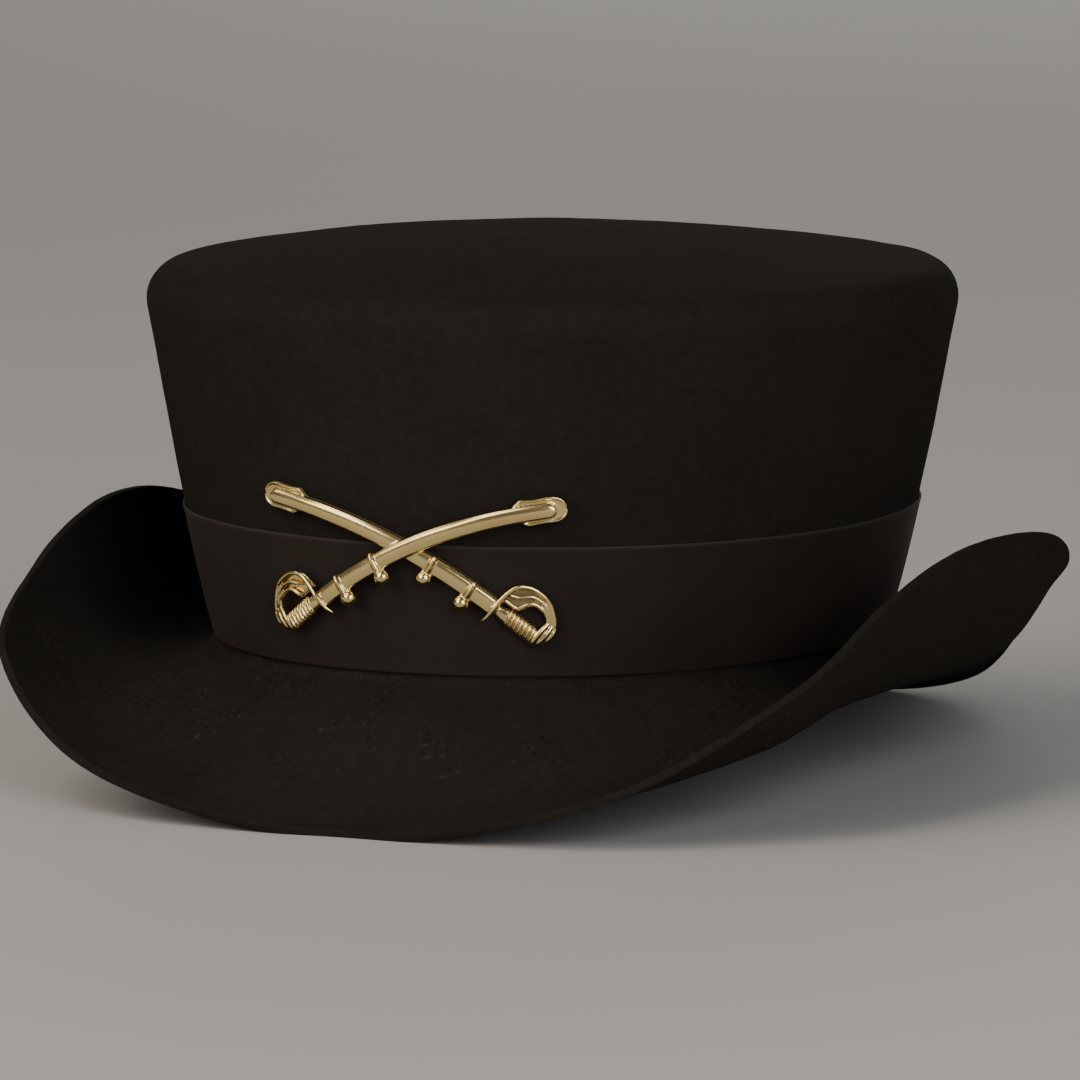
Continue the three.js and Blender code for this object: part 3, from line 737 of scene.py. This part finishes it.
# The pommel sweeps round from the guard's end to the grip's lower side in three thick ribs.
POMMEL_RIBS = [
    [
        (12.85, 5.6, 1.2, 0.45),
        (12.5, 4.3, 1.6, 0.68),
        (12.25, 2.6, 2.0, 0.78),
        (12.2, 0.8, 2.1, 0.78),
        (12.35, -0.9, 1.8, 0.7),
        (12.6, -2.0, 1.15, 0.45),
    ],
    [
        (13.6, 5.9, 1.2, 0.45),
        (13.85, 4.4, 1.55, 0.62),
        (13.8, 2.6, 1.9, 0.7),
        (13.65, 0.9, 1.95, 0.7),
        (13.4, -0.5, 1.7, 0.64),
        (13.2, -1.5, 1.15, 0.45),
    ],
    [
        (14.2, 6.4, 1.2, 0.45),
        (14.9, 5.0, 1.4, 0.56),
        (15.05, 3.4, 1.65, 0.62),
        (14.9, 1.8, 1.7, 0.62),
        (14.55, 0.5, 1.5, 0.56),
        (14.2, -0.5, 1.1, 0.4),
    ],
]
POMMEL_CORE = [(11.6, 2.0, -1.6), (12.6, 4.6, -1.6), (13.6, 5.2, -1.1), (14.7, 4.6, 0.0)]  # x, high, low
POMMEL_CORE_BASE, POMMEL_CORE_TOP = 0.3, 1.3


def make_pommel(body):
    for stations in POMMEL_RIBS:
        rod(body, stations, on_hilt, 26, sides=12)
    rings = []
    base, top = POMMEL_CORE_BASE, POMMEL_CORE_TOP
    for x, high, low in POMMEL_CORE:
        corners = ((low, base), (high, base), (high, top), (low, top))
        rings.append([on_hilt(x, y, d) for y, d in corners])
    body.loft(rings)


HILT_SPREAD = 0.5  # the upper sabre's hilt sits this much higher than its scabbard, the lower one's lower


def make_sabre(spread):
    hilt = Body()
    make_guard(hilt)
    make_grip(hilt)
    make_pommel(hilt)
    shift = on_hilt(0, spread) - on_hilt(0, 0)
    body = Body()
    make_scabbard(body)
    make_drag(body)
    for along in SUSPENSION_ALONG:
        make_suspension(body, along)
    body.add([point + shift for point in hilt.points], hilt.faces)
    return np.array(body.points), body.faces


def angle_at(s, z):
    """The angle at which an arc of the wall, counted from the front, is s long."""
    length, width = wall_oval(z)
    angle = np.zeros_like(s)
    steps, probe = 24, 0.001
    for _ in range(steps):
        x0, y0, _, _ = oval(length, width, angle)
        x1, y1, _, _ = oval(length, width, angle + probe)
        angle = angle + s / steps * probe / np.hypot(x1 - x0, y1 - y0)
    return angle


def wall_normal(angle, z):
    up = wall(angle, z + 1) - wall(angle, z - 1)
    around = wall(angle + 0.01, z) - wall(angle - 0.01, z)
    normal = np.cross(around, up)
    return normal / np.linalg.norm(normal, axis=-1)[..., None]


BADGE_BACK = GAP + BAND_THICKNESS + GAP


def on_crown(flat):
    """Lays flat badge points (s, z, d) on the crown."""
    s, z, d = CROSSING_S + flat[:, 0], CROSSING_Z + flat[:, 1], flat[:, 2]
    angle = angle_at(s, z)
    return wall(angle, z) + wall_normal(angle, z) * (BADGE_BACK + d)[:, None]


def largest_body(points, faces):
    """The biggest connected part of a mesh, without the crumbs that the fusing leaves."""
    faces = np.array(faces)
    label = np.arange(len(points))
    while True:
        lower = label.copy()
        np.minimum.at(lower, faces.ravel(), np.repeat(label[faces].min(axis=1), faces.shape[1]))
        lower = lower[lower]
        if (lower == label).all():
            break
        label = lower
    values, sizes = np.unique(label, return_counts=True)
    kept = label == values[sizes.argmax()]
    place = np.cumsum(kept) - 1
    return points[kept], [tuple(face) for face in place[faces[kept[faces[:, 0]]]].tolist()]


# The badge's sunk surfaces are those nearer its back than this, and the brass material paints them dark as
# painted shade.
RECESS_SHADE_TOP, RECESS_SHADE_FADE = 1.12, 0.35

VOXEL, QUICK_VOXEL = 0.21, 0.3
WEB_LENGTH, WEB_WIDTH, WEB_BASE, WEB_TOP = 5, 1.9, 0.3, 2.4  # half sizes of the web at the crossing
POST_ROOT, POST_BLUNT, POST_END = 1.4, 0.3, 0.6  # where it begins, and its narrower end's length and share


def make_badge():
    whole = Body()
    points, faces = make_sabre(HILT_SPREAD)
    over = points + (0, 0, OVER_LIFT)
    whole.add(list(over), faces)
    points, faces = make_sabre(-HILT_SPREAD)
    under = points * (-1, 1, 1)
    whole.add(list(under), [face[::-1] for face in faces])
    # The two sabres are one casting: a small web joins them at the crossing.
    web = [on_sabre(along, 0, 0) for along in np.linspace(-WEB_LENGTH, WEB_LENGTH, 6)]
    section = (
        (0, -WEB_WIDTH, WEB_BASE),
        (0, WEB_WIDTH, WEB_BASE),
        (0, WEB_WIDTH, WEB_TOP),
        (0, -WEB_WIDTH, WEB_TOP),
    )
    whole.loft([[p + corner for corner in section] for p in web])
    depth = BADGE_BACK + FELT + GAP + CLUTCH_HEIGHT - CLUTCH_FLOOR - GAP
    for side in (-1, 1):
        rings = []
        for d in np.linspace(POST_ROOT, -depth, 12):
            radius = POST_RADIUS * (POST_END if d < -depth + POST_BLUNT else 1)
            ring = []
            for turn in np.linspace(0, 2 * math.pi, 19)[:-1]:
                s, z = side * POST_S + radius * math.cos(turn), POST_Z + radius * math.sin(turn)
                ring.append(np.array([s, z, d]))
            rings.append(ring)
        whole.loft(rings)

    # Fused into one skin, as a casting is, while it is flat.
    mesh = bpy.data.meshes.new("badge_flat")
    mesh.from_pydata([tuple(p) for p in whole.points], [], whole.faces)
    mesh.validate()
    flat = bpy.data.objects.new("badge_flat", mesh)
    bpy.context.scene.collection.objects.link(flat)
    remesh = flat.modifiers.new("fuse", "REMESH")
    remesh.mode = "VOXEL"
    remesh.voxel_size = VOXEL
    soften = flat.modifiers.new("soften", "SMOOTH")
    soften.factor, soften.iterations = 0.5, 2
    evaluated = flat.evaluated_get(bpy.context.evaluated_depsgraph_get())
    fused = evaluated.to_mesh()
    places = np.array([v.co for v in fused.vertices])
    quads = [tuple(p.vertices) for p in fused.polygons]
    places, quads = largest_body(places, quads)
    evaluated.to_mesh_clear()
    bpy.data.objects.remove(flat)
    bpy.data.meshes.remove(mesh)
    badge = mesh_object("crossed_sabres_badge", on_crown(places), quads)
    # Painted shade: how deep each point is sunk towards the badge's back, which the brass material paints
    # darker.
    recess_shade = badge.data.attributes.new("recess_shade", "FLOAT", "POINT")
    recess_shade.data.foreach_set("value", np.clip((RECESS_SHADE_TOP - places[:, 2]) / RECESS_SHADE_FADE, 0, 1))
    return badge


CLUTCH_COLUMNS = 56


def make_clutch(name, side):
    """A round cap pushed onto the post from inside the crown."""
    profile = [
        (0, 0.25),
        (0.9, 0.22),
        (1.4, 0.0),
        (3.2, 0.0),
        (4.0, 0.08),
        (4.42, 0.3),
        (CLUTCH_RADIUS, 0.7),
        (CLUTCH_RADIUS, 1.1),
        (4.48, 1.22),
        (4.48, 1.42),
        (CLUTCH_RADIUS, 1.54),
        (CLUTCH_RADIUS, 2.2),
        (4.45, 2.5),
        (4.1, CLUTCH_HEIGHT),
        (1.8, CLUTCH_HEIGHT),
        (1.5, 2.4),
        (1.5, CLUTCH_FLOOR),
        (0, CLUTCH_FLOOR),
    ]
    columns = CLUTCH_COLUMNS
    s, z = np.array([CROSSING_S + side * POST_S]), np.array([CROSSING_Z + POST_Z])
    angle = angle_at(s, z)
    normal = wall_normal(angle, z)[0]
    back = -FELT - GAP - CLUTCH_HEIGHT
    base = wall(angle, z)[0]
    across = np.cross((0, 0, 1), normal)
    across /= np.linalg.norm(across)
    up = np.cross(normal, across)
    points = []
    for radius, height in profile[1:-1]:
        for c in range(columns):
            turn = 2 * math.pi * c / columns
            spread = across * math.cos(turn) + up * math.sin(turn)
            points.append(base + normal * (back + height) + spread * radius)
    rows = len(profile) - 2
    faces = grid_faces(rows, columns)
    low, high = len(points), len(points) + 1
    points += [base + normal * (back + profile[0][1]), base + normal * (back + profile[-1][1])]
    last = (rows - 1) * columns
    for c in range(columns):
        n = (c + 1) % columns
        faces += [(low, n, c), (high, last + c, last + n)]
    return mesh_object(name, points, faces)


# ---------- materials ----------
def new_material(name):
    material = bpy.data.materials.new(name)
    material.use_nodes = True
    tree = material.node_tree
    return material, tree, tree.nodes["Principled BSDF"]


def texture(tree, kind, vector, **values):
    node = tree.nodes.new(kind)
    for key, value in values.items():
        if hasattr(node, key):
            setattr(node, key, value)
        else:
            node.inputs[key.replace("_", " ").title()].default_value = value
    tree.links.new(vector, node.inputs["Vector"])
    return node


def mapped(tree, source, scale):
    mapping = tree.nodes.new("ShaderNodeMapping")
    mapping.inputs["Scale"].default_value = scale
    tree.links.new(source, mapping.inputs["Vector"])
    return mapping.outputs["Vector"]


def ramp(tree, source, stops):
    node = tree.nodes.new("ShaderNodeValToRGB")
    elements = node.color_ramp.elements
    while len(elements) < len(stops):
        elements.new(0.5)
    for element, (position, colour) in zip(elements, stops):
        element.position = position
        element.color = (*colour, 1)
    tree.links.new(source, node.inputs["Fac"])
    return node.outputs["Color"]


def calculate(tree, operation, a, b):
    node = tree.nodes.new("ShaderNodeMath")
    node.operation = operation
    for socket, value in zip(node.inputs, (a, b)):
        if isinstance(value, (int, float)):
            socket.default_value = value
        else:
            tree.links.new(value, socket)
    return node.outputs[0]


def mix_colour(tree, factor, a, b, blend="MIX"):
    node = tree.nodes.new("ShaderNodeMix")
    node.data_type = "RGBA"
    node.blend_type = blend
    for socket, value in ((node.inputs[0], factor), (node.inputs[6], a), (node.inputs[7], b)):
        if isinstance(value, (int, float)):
            socket.default_value = value
        elif isinstance(value, tuple):
            socket.default_value = (*value, 1)
        else:
            tree.links.new(value, socket)
    return node.outputs[2]


def bump(tree, height, distance, strength, below=None):
    node = tree.nodes.new("ShaderNodeBump")
    node.inputs["Strength"].default_value = strength
    node.inputs["Distance"].default_value = distance
    tree.links.new(height, node.inputs["Height"])
    if below is not None:
        tree.links.new(below, node.inputs["Normal"])
    return node.outputs["Normal"]


BLACK, WHITE = (0, 0, 0), (1, 1, 1)
FELT_DARK, FELT_LIGHT = (0.0180, 0.0152, 0.0128), (0.0242, 0.0208, 0.0176)
LOOSE_FIBRE = (0.052, 0.045, 0.037)
BRIGHT_FLECK, DARK_FLECK = (0.062, 0.054, 0.045), (0.006, 0.005, 0.004)
FELT_SHEEN = (0.52, 0.44, 0.34, 1)
RIBBON_DARK, RIBBON_LIGHT = (0.0162, 0.0113, 0.0084), (0.0214, 0.0156, 0.0119)
# a lighter colour painted on the ribbon's upper selvedge as a painted highlight
SELVEDGE_HIGHLIGHT = (0.036, 0.030, 0.026)
RIBBON_SHEEN = (0.6, 0.5, 0.42, 1)
THREAD_DARK, THREAD_LIGHT = (0.010, 0.008, 0.007), (0.024, 0.020, 0.017)
BRASS_DEEP, BRASS_PALE = (0.88, 0.67, 0.275), (0.97, 0.76, 0.355)
# the dark colour of the painted shade in the badge's hollows and sunk surfaces
PAINTED_SHADE_DARK = (0.030, 0.023, 0.012)
FLOOR_DARK, FLOOR_LIGHT = (0.60, 0.585, 0.565), (0.63, 0.615, 0.595)


def felt_material():
    material, tree, shader = new_material("wool_felt")
    place = tree.nodes.new("ShaderNodeTexCoord").outputs["Object"]
    broad = texture(tree, "ShaderNodeTexNoise", place, scale=38.0, detail=3.0)
    mottle = texture(tree, "ShaderNodeTexNoise", place, scale=420.0, detail=5.0, roughness=0.65)
    fibre_space = mapped(tree, place, (1.0, 1.0, 2.2))
    fibre = texture(
        tree,
        "ShaderNodeTexNoise",
        fibre_space,
        scale=1500.0,
        detail=6.0,
        roughness=0.72,
        distortion=1.6,
    )
    pill_zone = texture(tree, "ShaderNodeTexNoise", place, scale=62.0, detail=2.0)
    pills = texture(tree, "ShaderNodeTexVoronoi", place, scale=520.0, randomness=1.0)

    base = ramp(tree, mottle.outputs["Fac"], [(0.3, FELT_DARK), (0.72, FELT_LIGHT)])
    worn = ramp(tree, broad.outputs["Fac"], [(0.35, (0.94, 0.94, 0.94)), (0.7, (1.06, 1.055, 1.05))])
    base = mix_colour(tree, 1.0, base, worn, "MULTIPLY")
    light = ramp(tree, fibre.outputs["Fac"], [(0.6, BLACK), (0.78, WHITE)])
    light = calculate(tree, "MULTIPLY", light, 0.25)
    base = mix_colour(tree, light, base, LOOSE_FIBRE)
    # Small pills and flecks gather in patches on the brim, by the crown's foot.
    patches = ramp(tree, pill_zone.outputs["Fac"], [(0.47, BLACK), (0.6, WHITE)])
    height = tree.nodes.new("ShaderNodeSeparateXYZ")
    tree.links.new(place, height.inputs["Vector"])
    # Along this ramp the height is counted in tenths of a metre.
    low_down = ramp(
        tree,
        calculate(tree, "MULTIPLY", height.outputs["Z"], 10.0),
        [(0.10, (0.25, 0.25, 0.25)), (0.2, WHITE), (0.37, WHITE), (0.42, (0.12, 0.12, 0.12))],
    )
    patches = calculate(tree, "MULTIPLY", patches, low_down)
    fleck_space = mapped(tree, place, (1.0, 0.55, 1.0))
    fleck = texture(tree, "ShaderNodeTexNoise", fleck_space, scale=780.0, detail=2.0, roughness=0.5)
    bright = ramp(tree, fleck.outputs["Fac"], [(0.63, BLACK), (0.70, WHITE)])
    dark = ramp(tree, fleck.outputs["Fac"], [(0.30, WHITE), (0.37, BLACK)])
    bright = calculate(tree, "MULTIPLY", calculate(tree, "MULTIPLY", bright, patches), 0.55)
    dark = calculate(tree, "MULTIPLY", calculate(tree, "MULTIPLY", dark, patches), 0.7)
    base = mix_colour(tree, bright, base, BRIGHT_FLECK)
    base = mix_colour(tree, dark, base, DARK_FLECK)
    tree.links.new(base, shader.inputs["Base Color"])
    shader.inputs["Roughness"].default_value = 0.95
    shader.inputs["Specular IOR Level"].default_value = 0.015
    shader.inputs["Sheen Weight"].default_value = 0.012
    shader.inputs["Sheen Roughness"].default_value = 0.5
    shader.inputs["Sheen Tint"].default_value = FELT_SHEEN

    pill = ramp(tree, pills.outputs["Distance"], [(0.0, WHITE), (0.30, BLACK)])
    pill = calculate(tree, "MULTIPLY", pill, patches)
    normal = bump(tree, mottle.outputs["Fac"], 0.00022, 0.6)
    normal = bump(tree, pill, 0.0004, 0.8, normal)
    flecks = calculate(tree, "MULTIPLY", fleck.outputs["Fac"], patches)
    normal = bump(tree, flecks, 0.0005, 0.8, normal)
    normal = bump(tree, fibre.outputs["Fac"], 0.00010, 0.75, normal)
    tree.links.new(normal, shader.inputs["Normal"])
    return material


def ribbon_material():
    material, tree, shader = new_material("ribbon_weave")
    uv = tree.nodes.new("ShaderNodeUVMap")
    uv.uv_map = "weave"
    place = tree.nodes.new("ShaderNodeTexCoord").outputs["Object"]
    ribs = texture(
        tree,
        "ShaderNodeTexWave",
        mapped(tree, uv.outputs["UV"], (1.0, 0.02, 1.0)),
        wave_type="BANDS",
        bands_direction="X",
        scale=46.0,
        distortion=0.25,
        detail=1.0,
    )
    grain = texture(
        tree,
        "ShaderNodeTexNoise",
        mapped(tree, uv.outputs["UV"], (1.0, 6.0, 1.0)),
        scale=160.0,
        detail=5.0,
        roughness=0.7,
    )
    broad = texture(tree, "ShaderNodeTexNoise", place, scale=45.0, detail=2.0)
    base = ramp(tree, grain.outputs["Fac"], [(0.3, RIBBON_DARK), (0.72, RIBBON_LIGHT)])
    tone = ramp(tree, broad.outputs["Fac"], [(0.35, (0.9, 0.9, 0.9)), (0.7, (1.1, 1.09, 1.08))])
    base = mix_colour(tree, 1.0, base, tone, "MULTIPLY")
    # Painted highlight: the upper selvedge is painted lighter than the face below it, standing in for the
    # light it takes.
    across = tree.nodes.new("ShaderNodeSeparateXYZ")
    tree.links.new(uv.outputs["UV"], across.inputs["Vector"])
    full = (BAND_HIGH - BAND_LOW) / WEAVE_UNIT
    share = calculate(tree, "DIVIDE", across.outputs["Y"], full)
    selvedge_highlight = ramp(tree, share, [(0.965, BLACK), (0.985, WHITE)])
    selvedge_highlight = calculate(tree, "MULTIPLY", selvedge_highlight, 0.8)
    base = mix_colour(tree, selvedge_highlight, base, SELVEDGE_HIGHLIGHT)
    tree.links.new(base, shader.inputs["Base Color"])
    shader.inputs["Roughness"].default_value = 0.78
    shader.inputs["Specular IOR Level"].default_value = 0.22
    shader.inputs["Sheen Weight"].default_value = 0.08
    shader.inputs["Sheen Roughness"].default_value = 0.4
    shader.inputs["Sheen Tint"].default_value = RIBBON_SHEEN
    normal = bump(tree, ribs.outputs["Fac"], 0.00003, 0.55)
    normal = bump(tree, grain.outputs["Fac"], 0.00004, 0.6, normal)
    tree.links.new(normal, shader.inputs["Normal"])
    return material


def thread_material():
    material, tree, shader = new_material("dark_thread")
    place = tree.nodes.new("ShaderNodeTexCoord").outputs["Object"]
    twist = texture(tree, "ShaderNodeTexNoise", place, scale=2600.0, detail=3.0)
    base = ramp(tree, twist.outputs["Fac"], [(0.35, THREAD_DARK), (0.7, THREAD_LIGHT)])
    tree.links.new(base, shader.inputs["Base Color"])
    shader.inputs["Roughness"].default_value = 0.7
    normal = bump(tree, twist.outputs["Fac"], 0.00005, 0.7)
    tree.links.new(normal, shader.inputs["Normal"])
    return material


def brass_material():
    material, tree, shader = new_material("satin_brass")
    place = tree.nodes.new("ShaderNodeTexCoord").outputs["Object"]
    hollow = tree.nodes.new("ShaderNodeNewGeometry").outputs["Pointiness"]
    tarnish = texture(tree, "ShaderNodeTexNoise", place, scale=170.0, detail=4.0, roughness=0.6)
    grain = texture(tree, "ShaderNodeTexNoise", place, scale=2400.0, detail=4.0)
    base = ramp(tree, tarnish.outputs["Fac"], [(0.3, BRASS_DEEP), (0.72, BRASS_PALE)])
    # Painted highlight: convex edges, found by the mesh's pointiness, are painted up to 12 percent lighter.
    edge = ramp(tree, hollow, [(0.5, WHITE), (0.6, (1.12, 1.12, 1.1))])
    base = mix_colour(tree, 1.0, base, edge, "MULTIPLY")
    # Painted shade: the hollows, by the mesh's pointiness, and the sunk surfaces near the badge's back are
    # painted dark and made less metallic.
    painted_shade = ramp(tree, hollow, [(0.425, WHITE), (0.488, BLACK)])
    recess_shade = tree.nodes.new("ShaderNodeAttribute")
    recess_shade.attribute_name = "recess_shade"
    sunk_shade = calculate(tree, "MULTIPLY", recess_shade.outputs["Fac"], 0.72)
    painted_shade = calculate(tree, "MAXIMUM", calculate(tree, "MULTIPLY", painted_shade, 0.9), sunk_shade)
    base = mix_colour(tree, painted_shade, base, PAINTED_SHADE_DARK)
    tree.links.new(base, shader.inputs["Base Color"])
    tree.links.new(calculate(tree, "SUBTRACT", 1.0, painted_shade), shader.inputs["Metallic"])
    rough = calculate(tree, "MULTIPLY", tarnish.outputs["Fac"], 0.10)
    rough = calculate(tree, "ADD", rough, 0.13)
    tree.links.new(rough, shader.inputs["Roughness"])
    normal = bump(tree, grain.outputs["Fac"], 0.00002, 0.35)
    tree.links.new(normal, shader.inputs["Normal"])
    return material


def floor_material():
    material, tree, shader = new_material("pale_floor")
    place = tree.nodes.new("ShaderNodeTexCoord").outputs["Object"]
    tone = texture(tree, "ShaderNodeTexNoise", place, scale=1.2, detail=2.0)
    base = ramp(tree, tone.outputs["Fac"], [(0.3, FLOOR_DARK), (0.7, FLOOR_LIGHT)])
    tree.links.new(base, shader.inputs["Base Color"])
    shader.inputs["Roughness"].default_value = 0.8
    shader.inputs["Specular IOR Level"].default_value = 0.2
    return material


# ---------- camera and studio ----------
AZIMUTH, ELEVATION = 22.2, 7.6  # degrees: from the front towards the wearer's left, and up
DISTANCE = 2.5
LENS = 308.8
AIM_HEIGHT = 0.0589
AIM_ASIDE = -0.0036  # the hat stands a little right of the picture's middle
LIGHT_AIM = (0, 0, 0.07)
FLOOR_SIDE = 16.0


def add_camera():
    azimuth, elevation = AZIMUTH * DEG, ELEVATION * DEG
    right = Vector((math.cos(azimuth), math.sin(azimuth), 0))
    level = math.cos(elevation)
    back = Vector((math.sin(azimuth) * level, -math.cos(azimuth) * level, math.sin(elevation)))
    aim = Vector((0, CENTRE_Y * MM, AIM_HEIGHT)) + right * AIM_ASIDE
    data = bpy.data.cameras.new("camera")
    data.lens = LENS
    data.sensor_width = 36.0
    data.clip_end = 100
    camera = bpy.data.objects.new("camera", data)
    up = back.cross(right)
    turn = Matrix((right, up, back)).transposed()
    camera.matrix_world = Matrix.Translation(aim + back * DISTANCE) @ turn.to_4x4()
    bpy.context.scene.collection.objects.link(camera)
    bpy.context.scene.camera = camera


def add_area(name, place, size, power, colour):
    data = bpy.data.lights.new(name, "AREA")
    data.shape = "RECTANGLE"
    data.size, data.size_y = size
    data.energy = power
    data.color = colour
    light = bpy.data.objects.new(name, data)
    light.location = place
    light.rotation_euler = (Vector(LIGHT_AIM) - Vector(place)).to_track_quat("-Z", "Y").to_euler()
    bpy.context.scene.collection.objects.link(light)


SKY, SKY_COLOUR = 0.13, (0.93, 0.92, 0.90, 1)
LIGHTS = [
    # name, place, size, watts, colour
    ("key", (-1.9, -0.75, 1.75), (0.9, 0.9), 5, (1.0, 0.90, 0.78)),
    ("front_left", (-1.5, -2.6, 1.5), (1.8, 1.8), 40, (1.0, 0.93, 0.84)),
    ("high_left", (-1.0, -1.7, 2.7), (1.1, 1.1), 16, (1.0, 0.93, 0.84)),
    ("front_right", (1.8, -2.0, 1.0), (1.6, 1.6), 38, (0.98, 0.98, 1.0)),
    ("back", (-1.0, 4.2, 1.4), (2.0, 2.0), 25, (1.0, 0.97, 0.92)),
]


def add_studio():
    side = FLOOR_SIDE
    corners = [(-side, -side, 0), (side, -side, 0), (side, side, 0), (-side, side, 0)]
    mesh = bpy.data.meshes.new("floor")
    mesh.from_pydata(corners, [], [(0, 1, 2, 3)])
    floor = bpy.data.objects.new("floor", mesh)
    bpy.context.scene.collection.objects.link(floor)
    floor.data.materials.append(floor_material())
    world = bpy.data.worlds.new("studio")
    bpy.context.scene.world = world
    world.use_nodes = True
    background = world.node_tree.nodes["Background"]
    background.inputs["Color"].default_value = SKY_COLOUR
    background.inputs["Strength"].default_value = SKY
    for light in LIGHTS:
        add_area(*light)


add_camera()
add_studio()

felt_look = felt_material()
ribbon_look = ribbon_material()
brass_look = brass_material()
thread_look = thread_material()

PIECES = [
    (make_felt(), felt_look, "felt", ["felt_body"]),
    (make_band(), ribbon_look, "ribbon", ["hat_band"]),
    (make_stitches(), thread_look, "ribbon", []),
    (make_badge(), brass_look, "brass", ["crossed_sabres"]),
    (make_clutch("badge_clutch_right", -1), brass_look, "brass", ["post_clutch_right"]),
    (make_clutch("badge_clutch_left", 1), brass_look, "brass", ["post_clutch_left"]),
]
for piece, look, slot_name, replaced in PIECES:
    piece.data.materials.append(look)
    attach(piece, "root")
    if replaced:
        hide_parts(*replaced)
